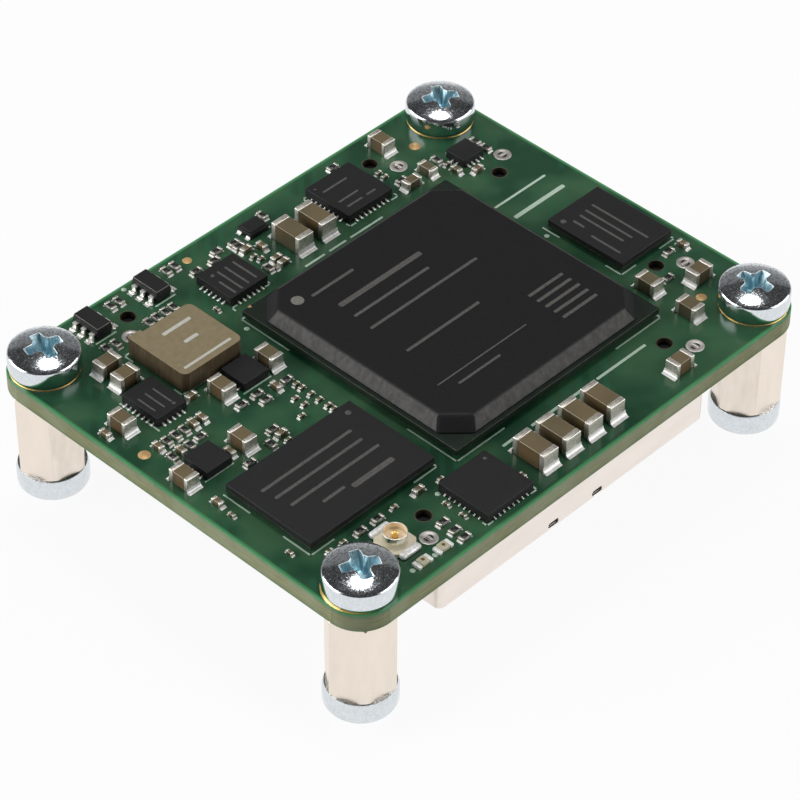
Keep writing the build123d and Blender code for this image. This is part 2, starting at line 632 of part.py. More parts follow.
def underside_capacitors():
    """Small capacitors under the processor, hanging from the board's underside."""
    core, ends = chip_part(LITTLE_CAPACITOR)
    bodies = []
    metal = []
    centre = Pos(*PROCESSOR_PLACE, BOARD_UNDERSIDE)
    for column in range(UNDERSIDE_COLUMNS):
        for row in range(UNDERSIDE_ROWS):
            x = (column - (UNDERSIDE_COLUMNS - 1) / 2) * UNDERSIDE_SPACING
            y = (row - (UNDERSIDE_ROWS - 1) / 2) * UNDERSIDE_SPACING
            frame = centre * Pos(x, y, 0) * Rot(180, 0, 0)
            bodies.append(frame * core)
            metal += [frame * end for end in ends]
    return bodies, metal


def write_packages():
    base, cap, balls = processor()
    save("processor_base", base)
    save("processor_cap", cap)
    save("processor_balls", balls)
    memory, memory_balls = ball_package(
        MEMORY_PLACE, MEMORY_LENGTH, MEMORY_WIDTH, MEMORY_MOULD_THICKNESS,
        MEMORY_BALL_COLUMNS, MEMORY_BALL_ROWS, MEMORY_BALL_PITCH,
    )
    save("memory_package", memory)
    save("memory_balls", memory_balls)
    flash, flash_balls = ball_package(
        FLASH_PLACE, FLASH_LENGTH, FLASH_WIDTH, FLASH_MOULD_THICKNESS,
        FLASH_BALL_COLUMNS, FLASH_BALL_ROWS, FLASH_BALL_PITCH,
    )
    save("flash_package", flash)
    save("flash_balls", flash_balls)


def write_leadless_chips():
    chips = {
        "network_chip": leadless_chip(
            NETWORK_CHIP_PLACE, NETWORK_CHIP_SIZE, NETWORK_CHIP_SIZE, NETWORK_CHIP_HEIGHT,
            NETWORK_CHIP_PADS, NETWORK_CHIP_PADS,
        ),
        "clock_chip": leadless_chip(
            CLOCK_CHIP_PLACE, CLOCK_CHIP_SIZE, CLOCK_CHIP_SIZE, CLOCK_CHIP_HEIGHT,
            CLOCK_CHIP_PADS, CLOCK_CHIP_PADS,
        ),
        "logic_chip": leadless_chip(
            LOGIC_CHIP_PLACE, LOGIC_CHIP_SIZE, LOGIC_CHIP_SIZE, LOGIC_CHIP_HEIGHT,
            LOGIC_CHIP_PADS, LOGIC_CHIP_PADS,
        ),
        "main_regulator": leadless_chip(
            MAIN_REGULATOR_PLACE, MAIN_REGULATOR_LENGTH, MAIN_REGULATOR_WIDTH, MAIN_REGULATOR_HEIGHT,
            MAIN_REGULATOR_END_PADS, MAIN_REGULATOR_SIDE_PADS,
        ),
        "small_regulator": leadless_chip(
            SMALL_REGULATOR_PLACE, SMALL_REGULATOR_LENGTH, SMALL_REGULATOR_WIDTH,
            SMALL_REGULATOR_HEIGHT, SMALL_REGULATOR_END_PADS, SMALL_REGULATOR_SIDE_PADS,
        ),
    }
    for name, (body, wedges) in chips.items():
        save(f"{name}_body", body)
        save(f"{name}_solder", wedges)
    bodies = []
    solder = []
    for place in POWER_MODULE_PLACES:
        body, wedges = leadless_chip(
            place, POWER_MODULE_SIZE, POWER_MODULE_SIZE, POWER_MODULE_HEIGHT, 0, POWER_MODULE_PADS,
        )
        bodies += body
        solder += wedges
    save("power_module_bodies", bodies)
    save("power_module_solder", solder)


def write_power_and_signal_parts():
    inductor, terminals = power_inductor()
    save("power_inductor_body", inductor)
    save("power_inductor_terminals", terminals)
    package, lid, solder = oscillator()
    save("oscillator_package", package)
    save("oscillator_lid", lid)
    save("oscillator_solder", solder)
    bodies, leads = six_pin_chips()
    save("six_pin_chip_bodies", bodies)
    save("six_pin_chip_leads", leads)
    base, shell, feet, pin = coax_socket()
    save("antenna_socket_base", base)
    save("antenna_socket_shell", shell)
    save("antenna_socket_feet", feet)
    save("antenna_socket_pin", pin)
    lenses, ends = lamps()
    save("indicator_lamp_lenses", lenses)
    save("indicator_lamp_ends", ends)


def write_chip_parts():
    small_bodies, small_ends = chip_parts(SMALL_CAPACITOR, SMALL_ALONG_X, SMALL_ALONG_Y)
    little_bodies, little_ends = chip_parts(LITTLE_CAPACITOR, LITTLE_ALONG_X, LITTLE_ALONG_Y)
    groups = {
        "bulk_capacitor": chip_parts(BULK_CAPACITOR, [], BULK_ALONG_Y),
        "medium_capacitor": chip_parts(MEDIUM_CAPACITOR, MEDIUM_ALONG_X, MEDIUM_ALONG_Y),
        "small_capacitor": (small_bodies + little_bodies, small_ends + little_ends),
        "tiny_capacitor": chip_parts(TINY_CAPACITOR, TINY_ALONG_X, TINY_ALONG_Y),
        "resistor": chip_parts(RESISTOR, RESISTORS_ALONG_X, RESISTORS_ALONG_Y),
        "underside_capacitor": underside_capacitors(),
    }
    for name, (bodies, ends) in groups.items():
        save(f"{name}_bodies", bodies)
        save(f"{name}_ends", ends)


def write_connectors():
    for name, (frame, positions) in connectors().items():
        save(f"{name}_connector_housing", [frame * connector_housing(positions)])
        save(f"{name}_connector_shield", [frame * connector_shield(positions)])


def main():
    os.makedirs("parts", exist_ok=True)
    save("circuit_board", circuit_board())
    save("shield_tab_solder", shield_tab_solder())
    save("top_screws", top_screws())
    save("standoffs", standoffs())
    save("bottom_screws", bottom_screws())
    write_packages()
    write_leadless_chips()
    write_power_and_signal_parts()
    write_chip_parts()
    write_connectors()


main()
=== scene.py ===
import math
import bmesh
import bpy
from mathutils import Matrix, Vector


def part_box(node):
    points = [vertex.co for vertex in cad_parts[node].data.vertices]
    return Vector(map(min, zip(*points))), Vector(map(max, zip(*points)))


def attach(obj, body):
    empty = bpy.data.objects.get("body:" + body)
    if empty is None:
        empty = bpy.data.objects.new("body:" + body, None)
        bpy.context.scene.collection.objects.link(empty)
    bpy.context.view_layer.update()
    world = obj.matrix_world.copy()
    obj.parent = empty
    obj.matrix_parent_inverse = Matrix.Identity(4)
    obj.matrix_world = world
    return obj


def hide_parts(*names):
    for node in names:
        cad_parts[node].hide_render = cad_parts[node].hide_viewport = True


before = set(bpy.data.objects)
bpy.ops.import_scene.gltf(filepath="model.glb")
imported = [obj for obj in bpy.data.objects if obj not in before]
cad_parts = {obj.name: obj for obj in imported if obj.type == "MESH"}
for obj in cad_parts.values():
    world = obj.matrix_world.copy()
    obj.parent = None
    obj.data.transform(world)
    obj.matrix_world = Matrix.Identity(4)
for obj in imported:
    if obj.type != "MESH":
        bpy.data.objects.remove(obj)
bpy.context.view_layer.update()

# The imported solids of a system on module, dressed with rounded and finished pieces.
# Lengths are in millimetres and become metres where Blender is given them
MM = 0.001

# Screws and standoffs
RECESS_TURNS = {(-1, -1): 64, (1, -1): 5, (-1, 1): 77, (1, 1): 61}
HEAD_DIAMETER = 5.8
HEAD_FOOT_DIAMETER = 5.5
HEAD_FOOT_HEIGHT = 0.5
HEAD_SIDE_HEIGHT = 1.5
RIM_DIAMETER = 5.46
RIM_HEIGHT = 1.86
HEAD_HEIGHT = 2.4
CROWN_DIAMETER = 1.4
RECESS_SPAN = 3.4
RECESS_ARM = 0.95
RECESS_ROOT = 2.6
RECESS_DEPTH = 1.5
# width of the recess's edge bevel that carries a painted highlight
RECESS_HIGHLIGHT_BEVEL = 0.035
RECESS_OVERRUN = 0.2
RECESS_WING_TAPER = (0.42, 0.6)
RECESS_ROOT_TAPER = (0.4, 0.4)
HEAD_EDGE = 0.07
SHANK_DIAMETER = 3.0
SHANK_EDGE = 0.2
STANDOFF_FLATS = 5.0
STANDOFF_BORE = 3.06
STANDOFF_CHAMFER = 0.3
STANDOFF_EDGE = 0.09

# Antenna socket
SOCKET_CUT = 0.4
SOCKET_RING = 1.92
SOCKET_BORE = 1.72
SOCKET_NECK = 1.7
SOCKET_NECK_HEIGHT = 0.32
SOCKET_PIN = 0.5
SOCKET_COLLAR = 0.7

# Indicator lamps
LENS_EDGE = 0.12
LAMP_CORE_WIDTH = 0.3

# Board and its holes
BOARD_THICKNESS = 1.6
BOARD_CORNER = 3.0
BOARD_EDGE = 0.05
SCREW_HOLE = 3.2
PEG_HOLE = 1.25
TAB_HOLE = (0.4, 0.9)
DRILL_LENGTH = 4
DRILL_START = 1
TRACK_PITCH = 3.4
PLY_PITCH = 0.4
PEG_RIM = 1.46

# Marks that lie on a face
MARK_THICKNESS = 0.012
MARK_EDGE = 0.004
LEGEND_WIDTH = 0.15
LEGEND_THICKNESS = 0.015
LEGEND_DOT = 0.45
LEGEND_DOT_EDGE = 0.005

# The pad of the front left screw lies a little off the middle of the screw
PAD_DRIFT = (-0.09, 0.1)
PAD_DIAMETER = 5.62
UNDER_PAD_DIAMETER = 5.5
PAD_HOLE = 3.3
PAD_THICKNESS = 0.05
UNDER_PAD_DROP = 0.04

# Processor: its cap, the three-sided pad on its base and the dot on its cap, from its middle
CAP_CUT = 1.95
CAP_DRAFT = 1.5
CAP_EDGE = 0.26
CORNER_PAD = 0.42
CORNER_PAD_THICKNESS = 0.02
CORNER_PAD_PLACE = (-10.75, 11.4)
CORNER_PAD_TURN = 75
CAP_DOT = 1.06
CAP_DOT_PLACE = (-8.59, 8.29)

# Smaller packages
SUBSTRATE = 0.24
SUBSTRATE_REACH = 0.02
# A solder ball's width and height, as shares of its solid
BALL_SHARES = (1.15, 1.3)
# Six-pin chips: the lead drops after a share of its length; the solder's toe and puddle are given by
# a length, a share of the lead's width and a height, and the puddle's length is a share too
LEAD = 0.15
LEAD_DROP = 0.34
LEAD_SHOULDER = 0.08
LEAD_TOE = (0.3, 1.3, 0.16)
LEAD_PUDDLE = (0.85, 1.7, 0.16)
PARTING_HEIGHT = 0.52
MOULD_TAPER = (0.9, 0.95)
# Leadless packages: node of the bodies and node of their solder
LEADLESS = [
    ("network_chip_body", "network_chip_solder"), ("clock_chip_body", "clock_chip_solder"),
    ("logic_chip_body", "logic_chip_solder"), ("main_regulator_body", "main_regulator_solder"),
    ("small_regulator_body", "small_regulator_solder"), ("power_module_bodies", "power_module_solder"),
]
# A contact's solder runs out a little further than its solid; the metal pad behind it has a length,
# a share of the solid's width and a height
SHORT_FILLET = 0.2
FILLET_OVERRUN = 0.06
FILLET_TUCK = 0.03
FILLET_HEIGHT = 0.1
CONTACT_PAD = (0.14, 0.6, 0.16)
CONTACT_PAD_STEP = 0.06

# Power inductor: its corner, its ear, and the start, length and width of its plain bars
INDUCTOR_CORNER = 0.6
INDUCTOR_EDGE = 0.16
INDUCTOR_EAR = (1.3, 0.8)
INDUCTOR_EAR_CORNER = 0.12
INDUCTOR_EAR_RISE = 0.3
INDUCTOR_BARS = [(-16.0, 7.7, 4.9, 0.25), (-14.5, 11.7, 2.9, 0.35), (-13.9, 9.9, 1.4, 0.35)]

# Solder over the shield tabs
TAB_JOINT = 1.5
TAB_JOINT_HEIGHT = 0.03
TAB_JOINT_STEPS = [(0.06, 0.02), (0.12, 0.0), (0.1, -0.04), (0.2, -0.02)]
TAB_RIDGE = (0.16, 0.75, 0.1)
TAB_PIT_SHADE = 0.2

# Connectors under the board, from the middle or the end of the shield
CONNECTORS = ("front", "rear", "right")
PEG_INSET = 1.53
PEG_OFFSET = 0.86
TAB_INSET = 0.1
TAB_OFFSET = 1.05
SHIELD_SHEET = 0.2
SHIELD_CORNER = 0.6
SHIELD_TAB = 0.7
LATCH_OFFSET = 2.48
LATCH_SLOT = (1.15, 0.5)
LATCH_SLOT_LIFT = 0.12
LATCH_LUG = (1.6, 0.34, 0.95)
LATCH_LUG_LIFT = 0.04
LATCH_LUG_INSET = 0.4
CONTACT_PITCH = 0.5
CONTACT_END = 2.53
CONTACT_ROWS = (-0.825, 0.975)
CONTACT_LIFT = 0.6
CONTACT_BLADE = (0.2, 0.1, 3.9)

# Metal ends of the chip parts along the part, by kind; the tallest small capacitors have a longer one
END_LENGTHS = {
    "bulk_capacitor": 0.5, "medium_capacitor": 0.4, "small_capacitor": 0.25, "tiny_capacitor": 0.15,
    "underside_capacitor": 0.25, "resistor": 0.2,
}
TALL_SMALL_CAPACITOR = 0.7
TALL_SMALL_END = 0.3
LOW_PART = 0.4
# Edges of the bodies and the ends, at most a share of the height
CHIP_EDGE = 0.05
END_EDGE = 0.055
EDGE_SHARE = 0.1
# Solder foot in front of an end: least reach of low and of high parts, shares of width and height
LOW_REACH = 0.14
HIGH_REACH = 0.22
FOOT_SHARES = (1.08, 0.3)
FOOT_OVERLAP = 0.02

# Places and radii of the bare round pads
FIDUCIALS = [(-23.4, 4.3, 0.5), (-5.55, 18.55, 0.4), (17.8, 15.87, 0.5), (19.7, -13.6, 0.45)]

# Corners of the marks round the packages
LEGEND_PATHS = [
    [(-7.55, -7.8), (-7.55, -12.9), (-2.4, -12.9)],
    [(-7.2, 10.3), (-7.5, 10.3), (-7.5, 5.1)],
    [(10.4, -12.9), (15.6, -12.9), (15.6, -12.6)],
    [(-22.25, -3.1), (-22.25, -5.8)],
    [(-22.25, -9.4), (-22.25, -12.2), (-19.9, -12.2)],
    [(-11.4, -12.2), (-9.0, -12.2), (-9.0, -11.9)],
    [(17.35, 1.1), (17.35, -0.6)],
    [(17.35, -5.7), (17.35, -7.3), (19.0, -7.3)],
    [(22.0, -7.3), (23.7, -7.3), (23.7, -7.0)],
    [(-7.1, 11.4), (-7.1, 11.8), (-6.6, 11.8)],
    [(-3.4, 11.8), (-2.9, 11.8), (-2.9, 12.1)],
    [(6.6, 12.7), (6.6, 12.3), (7.2, 12.3)],
    [(11.4, 12.3), (12.1, 12.3), (12.1, 12.7)],
    [(6.8, 17.5), (6.4, 17.5), (6.4, 17.1)],
    [(-11.0, -18.8), (-11.0, -19.2), (-10.4, -19.2)],
    [(-6.2, -19.2), (-5.6, -19.2), (-5.6, -18.8)],
    [(-16.85, 12.7), (-16.85, 13.6), (-16.2, 13.6)],
    [(-16.8, 8.0), (-16.8, 7.15), (-12.4, 7.15)],
    [(-13.4, 3.9), (-10.6, 3.9)],
    [(-22.2, -1.1), (-19.4, -1.1)],
    [(-17.4, 16.2), (-15.4, 16.2)],
    [(-11.1, 16.2), (-9.1, 16.2)],
    [(-20.8, 8.7), (-20.8, 9.8)],
    [(-20.8, 5.5), (-20.8, 6.7)],
]
# Plain bars on the board: y, start, end and width
LEGEND_BARS = [
    (11.3, 0.6, 2.6, 0.2), (11.3, 3.3, 5.0, 0.2), (11.3, 5.7, 9.2, 0.2),
    (-14.2, -3.8, -1.2, 0.25), (-14.2, -0.6, 3.2, 0.25), (-14.2, 3.8, 6.2, 0.25), (-14.2, 6.8, 12.2, 0.25),
    (5.6, 16.6, 22.4, 0.22), (3.6, 16.9, 22.4, 0.4),
]
LEGEND_DOTS = [(-8.0, 9.2), (16.8, 0.2), (-11.1, -14.3), (-11.5, 19.5), (-18.2, -18.55), (-15.9, -18.6)]

# Start of each bar, its length and its width
PROCESSOR_BARS = [
    (-3.45, 6.55, 4.6, 0.28), (-2.77, 4.2, 9.1, 0.5), (-2.84, 2.5, 8.3, 0.28), (-2.98, 0.6, 11.9, 0.28),
    (-2.94, -3.2, 8.1, 0.28), (-4.14, -7.6, 9.9, 0.13), (-2.86, -8.6, 4.6, 0.22),
    (8.35, -5.5, 3.9, 0.3), (8.35, -6.4, 3.9, 0.3), (8.35, -7.3, 3.9, 0.3), (8.35, -8.2, 3.9, 0.3),
    (8.35, -9.1, 3.9, 0.3),
]
# Package, start of the bar, its length and width, and whether it runs towards -Y
PACKAGE_BARS = [
    ("memory_package", -20.8, -5.6, 9.4, 0.28, False),
    ("memory_package", -20.6, -6.85, 9.1, 0.28, False),
    ("memory_package", -20.3, -8.2, 9.2, 0.28, False),
    ("memory_package", -18.4, -9.6, 2.3, 0.28, False),
    ("memory_package", -15.7, -10.0, 4.3, 0.5, False),
    ("flash_package", 21.4, -0.5, 6.0, 0.22, True),
    ("flash_package", 20.5, -0.6, 5.0, 0.22, True),
    ("flash_package", 19.7, -0.7, 4.7, 0.22, True),
    ("flash_package", 18.8, -0.8, 1.2, 0.22, True),
    ("flash_package", 18.4, -3.1, 3.1, 0.22, True),
    ("network_chip_body", 7.4, 16.2, 2.7, 0.2, False),
    ("network_chip_body", 7.4, 14.4, 2.2, 0.2, False),
    ("network_chip_body", 7.5, 13.5, 1.7, 0.2, False),
    ("network_chip_body", 9.7, 13.5, 1.0, 0.2, False),
    ("clock_chip_body", -3.8, 15.1, 2.7, 0.2, True),
    ("clock_chip_body", -4.7, 15.1, 2.8, 0.2, True),
    ("clock_chip_body", -5.5, 15.1, 2.9, 0.2, True),
    ("clock_chip_body", -6.25, 14.1, 1.9, 0.2, True),
    ("main_regulator_body", -18.5, 8.6, 2.1, 0.16, True),
    ("main_regulator_body", -19.3, 8.6, 2.2, 0.16, True),
    ("main_regulator_body", -20.1, 8.5, 1.9, 0.16, True),
]
# Package, place of its first-pin dot, and the dot's width
PACKAGE_DOTS = [
    ("memory_package", -10.17, -4.07, 0.5), ("flash_package", 18.17, -0.31, 0.5),
    ("network_chip_body", 7.23, 16.95, 0.22), ("clock_chip_body", -6.11, 14.97, 0.36),
    ("main_regulator_body", -18.49, 6.25, 0.3), ("logic_chip_body", -6.5, -14.75, 0.3),
]

# Camera, found from the board's corners and the screws in the photo
CAMERA_AZIMUTH = -46.213
CAMERA_ELEVATION = 42.001
CAMERA_ROLL = 0.4425
CAMERA_DISTANCE = 270.242
CAMERA_TARGET = (-5.591, -5.072, 12.0)
CAMERA_FOCAL_PIXELS = 3549.16
PICTURE_PIXELS = 800

# The backdrop stands on the far side of the board from the camera
BACKDROP_SIDE = (0.72, 0.69, 0.0)

# Studio, in metres and watts: each softbox has a place, a size, a power and a shape
SOFTBOXES = {
    "overhead_softbox": ((0.092, 0.088, 0.58), (0.21, 0.17), 1.0, "ELLIPSE"),
    "left_softbox": ((-0.66, 0.55, 0.33), (1.0, 0.6), 9.2, "RECTANGLE"),
    "right_softbox": ((0.51, -0.64, 0.31), (1.0, 0.6), 5.4, "RECTANGLE"),
}
SOFTBOX_TARGET = (0, 0, 0.012)
FLOOR_SIZE = 3.0
FLOOR_DROP = 0.0001
# Greys and glow of the paper floor, as seen and as it throws light back, and the room's soft fill
PAPER_GREY = 0.8
PAPER_GLOW = 0.93
BOUNCE_GREY = 0.42
FILL_STRENGTH = 0.42


# Places taken from the frame

def solids(node):
    """Centre and size, in millimetres, of each separate solid of a CAD node."""
    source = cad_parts[node]
    mesh = bmesh.new()
    mesh.from_mesh(source.data)
    mesh.transform(source.matrix_world)
    bmesh.ops.remove_doubles(mesh, verts=mesh.verts, dist=1e-7)
    left = set(mesh.verts)
    found = []
    while left:
        front = [left.pop()]
        corners = []
        while front:
            vertex = front.pop()
            corners.append(vertex.co.copy())
            for edge in vertex.link_edges:
                other = edge.other_vert(vertex)
                if other in left:
                    left.remove(other)
                    front.append(other)
        low = Vector([min(c[i] for c in corners) for i in range(3)]) / MM
        high = Vector([max(c[i] for c in corners) for i in range(3)]) / MM
        found.append(((low + high) / 2, high - low))
    mesh.free()
    return found


def places(node):
    """Foot of each solid of a node and its turn, for a model that lies along X."""
    spots = []
    for centre, size in solids(node):
        turn = 90 if size.y > size.x + 0.01 else 0
        spots.append((centre.x, centre.y, centre.z - size.z / 2, turn))
    return spots


def node_box(node):
    """Lowest corner and size of a CAD node, in millimetres."""
    low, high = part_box(node)
    return Vector(low) / MM, (Vector(high) - Vector(low)) / MM


def top_of(node):
    """Height of the top of a CAD node."""
    low, size = node_box(node)
    return low.z + size.z


BOARD_TOP = top_of("circuit_board")
BOARD_UNDERSIDE = node_box("circuit_board")[0].z


# Modelling

def pick(*pieces):
    """Selects these pieces and nothing else."""
    bpy.ops.object.select_all(action="DESELECT")
    for piece in pieces:
        piece.select_set(True)
    bpy.context.view_layer.objects.active = pieces[0]


def settle():
    """The active piece, with its place, turn and size put into its mesh."""
    bpy.ops.object.transform_apply(location=True, rotation=True, scale=True)
    return bpy.context.object


def block(size, foot=(0, 0, 0), turn=0.0):
    """Block standing on the middle of its underside."""
    bpy.ops.object.select_all(action="DESELECT")
    spot = (foot[0] * MM, foot[1] * MM, (foot[2] + size[2] / 2) * MM)
    bpy.ops.mesh.primitive_cube_add(size=1, location=spot, rotation=(0, 0, math.radians(turn)))
    bpy.context.object.scale = [length * MM for length in size]
    return settle()


def rod(diameter, height, foot=(0, 0, 0), sides=48, turn=0.0):
    """Round or many-sided bar standing on the middle of its underside."""
    bpy.ops.object.select_all(action="DESELECT")
    spot = (foot[0] * MM, foot[1] * MM, (foot[2] + height / 2) * MM)
    bpy.ops.mesh.primitive_cylinder_add(
        vertices=sides, radius=diameter / 2 * MM, depth=height * MM, location=spot,
        rotation=(0, 0, math.radians(turn)),
    )
    return settle()


def solid_block(centre, size):
    """Block that fills the box of one CAD solid, given by its middle and size."""
    return block(size, (centre.x, centre.y, centre.z - size.z / 2))


def node_block(node):
    """Block that fills the box of a whole CAD node."""
    low, size = node_box(node)
    return solid_block(low + size / 2, size)


def ball(size, centre, segments, rings):
    """Ball or flattened ball about its middle."""
    bpy.ops.object.select_all(action="DESELECT")
    spot = [c * MM for c in centre]
    bpy.ops.mesh.primitive_uv_sphere_add(segments=segments, ring_count=rings, radius=0.5, location=spot)
    bpy.context.object.scale = [length * MM for length in size]
    return settle()


def select_faces(piece, wanted):
    """Goes into edit mode with the faces selected for which wanted(centre in mm, normal) is true."""
    pick(piece)
    bpy.ops.object.mode_set(mode="EDIT")
    bpy.ops.mesh.select_mode(type="FACE")
    bpy.ops.mesh.select_all(action="DESELECT")
    mesh = bmesh.from_edit_mesh(piece.data)
    for face in mesh.faces:
        face.select = bool(wanted(face.calc_center_median() / MM, face.normal))
    mesh.select_flush_mode()
    bmesh.update_edit_mesh(piece.data)


def select_edges(piece, wanted):
    """Goes into edit mode with the edges selected for which wanted(one end, other end, in mm) is true."""
    pick(piece)
    bpy.ops.object.mode_set(mode="EDIT")
    bpy.ops.mesh.select_mode(type="EDGE")
    bpy.ops.mesh.select_all(action="DESELECT")
    mesh = bmesh.from_edit_mesh(piece.data)
    for edge in mesh.edges:
        edge.select = bool(wanted(edge.verts[0].co / MM, edge.verts[1].co / MM))
    mesh.select_flush_mode()
    bmesh.update_edit_mesh(piece.data)


def leave_edit():
    """Back from edit mode to the finished mesh."""
    bpy.ops.object.mode_set(mode="OBJECT")


def top_height(piece):
    """Height of a piece's highest point."""
    return max(vertex.co.z for vertex in piece.data.vertices) / MM


def build_up(piece, steps):
    """Carries the flat top up in steps, each an inset and a rise."""
    top = top_height(piece)
    select_faces(piece, lambda centre, normal: normal.z > 0.9 and centre.z > top - 0.001)
    for inset, rise in steps:
        bpy.ops.mesh.inset(thickness=inset * MM, depth=rise * MM)
    leave_edit()
    return piece


def round_corners(piece, radius, segments=6):
    """Rounds the upright edges."""
    select_edges(piece, lambda a, b: abs(a.x - b.x) < 1e-4 and abs(a.y - b.y) < 1e-4)
    bpy.ops.mesh.bevel(offset=radius * MM, segments=segments, affect="EDGES")
    leave_edit()
    return piece


def narrow_end(piece, z, factor_x, factor_y):
    """Scales the face at height z about the piece's own middle."""
    select_faces(piece, lambda centre, normal: abs(centre.z - z) < 0.001)
    bpy.ops.transform.resize(value=(factor_x, factor_y, 1.0))
    leave_edit()
    return piece


def split_level(piece, z):
    """Adds a loop of edges round the piece at height z."""
    pick(piece)
    bpy.ops.object.mode_set(mode="EDIT")
    bpy.ops.mesh.select_all(action="SELECT")
    bpy.ops.mesh.bisect(plane_co=(0, 0, z * MM), plane_no=(0, 0, 1))
    leave_edit()
    return piece


def soften(piece, width, segments=2, angle=35.0):
    """Bevels the sharp edges and shades them smooth, with the broad faces kept flat."""
    pick(piece)
    bevel = piece.modifiers.new("edge", "BEVEL")
    bevel.width = width * MM
    bevel.segments = segments
    bevel.limit_method = "ANGLE"
    bevel.angle_limit = math.radians(angle)
    bevel.harden_normals = False
    bpy.ops.object.modifier_apply(modifier=bevel.name)
    return keep_flat(piece)


def keep_flat(piece):
    """Smooth bevels beside faces that stay flat."""
    pick(piece)
    bpy.ops.object.shade_smooth_by_angle(angle=math.radians(50))
    flat = piece.modifiers.new("flat", "WEIGHTED_NORMAL")
    flat.keep_sharp = True
    bpy.ops.object.modifier_apply(modifier=flat.name)
    return piece


def smooth(piece, angle=35.0):
    """Shades smooth wherever faces meet at less than the angle."""
    pick(piece)
    bpy.ops.object.shade_smooth_by_angle(angle=math.radians(angle))
    return piece


def combine(piece, tool, operation="DIFFERENCE"):
    """Cuts piece with tool, or keeps what they share, and drops the tool."""
    pick(piece)
    change = piece.modifiers.new("cut", "BOOLEAN")
    change.operation = operation
    change.solver = "EXACT"
    change.object = tool
    bpy.ops.object.modifier_apply(modifier=change.name)
    bpy.data.objects.remove(tool)
    return piece


def join(pieces):
    """One piece out of several."""
    pieces = list(pieces)
    if len(pieces) > 1:
        pick(*pieces)
        bpy.ops.object.join()
    return pieces[0]


def copy_at(master, x, y, z, turn=0.0, flip=False):
    """Copy of a model with its own mesh, placed in millimetres."""
    twin = master.copy()
    twin.data = master.data.copy()
    move = Matrix.Translation((x * MM, y * MM, z * MM)) @ Matrix.Rotation(math.radians(turn), 4, "Z")
    if flip:
        move = move @ Matrix.Rotation(math.pi, 4, "X")
    twin.data.transform(move)
    bpy.context.collection.objects.link(twin)
    return twin


def put(model, x, y, z, turn=0.0, flip=False):
    """Moves a model that was made at the origin to its place."""
    piece = copy_at(model, x, y, z, turn, flip)
    bpy.data.objects.remove(model)
    return piece


def repeat(master, spots, flip=False):
    """One piece with a copy of the model at each spot (x, y, z, turn)."""
    made = [copy_at(master, *spot, flip=flip) for spot in spots]
    bpy.data.objects.remove(master)
    return join(made)


def hollow_slope(length, width, height, segments=4):
    """Solder fillet from x = 0, where it is tall, to x = length, with a hollow slope."""
    piece = block((length, width, length), (length / 2, 0, 0))
    far = length - 0.001
    select_edges(piece, lambda a, b: min(a.x, b.x) > far and min(a.z, b.z) > far)
    bpy.ops.mesh.bevel(offset=0.93 * length * MM, segments=segments, profile=0.08, affect="EDGES")
    leave_edit()
    piece.scale.z = height / length
    pick(piece)
    return smooth(settle(), 60)


# Materials

def tone(red, green, blue):
    """Linear colour from the red, green and blue that a picture shows, 0 to 255."""
    def linear(value):
        value /= 255
        return value / 12.92 if value <= 0.04045 else ((value + 0.055) / 1.055) ** 2.4
    return (linear(red), linear(green), linear(blue), 1.0)


def scaled(colour, factor):
    """A lighter or darker colour."""
    return tuple(min(1.0, channel * factor) for channel in colour[:3]) + (1.0,)


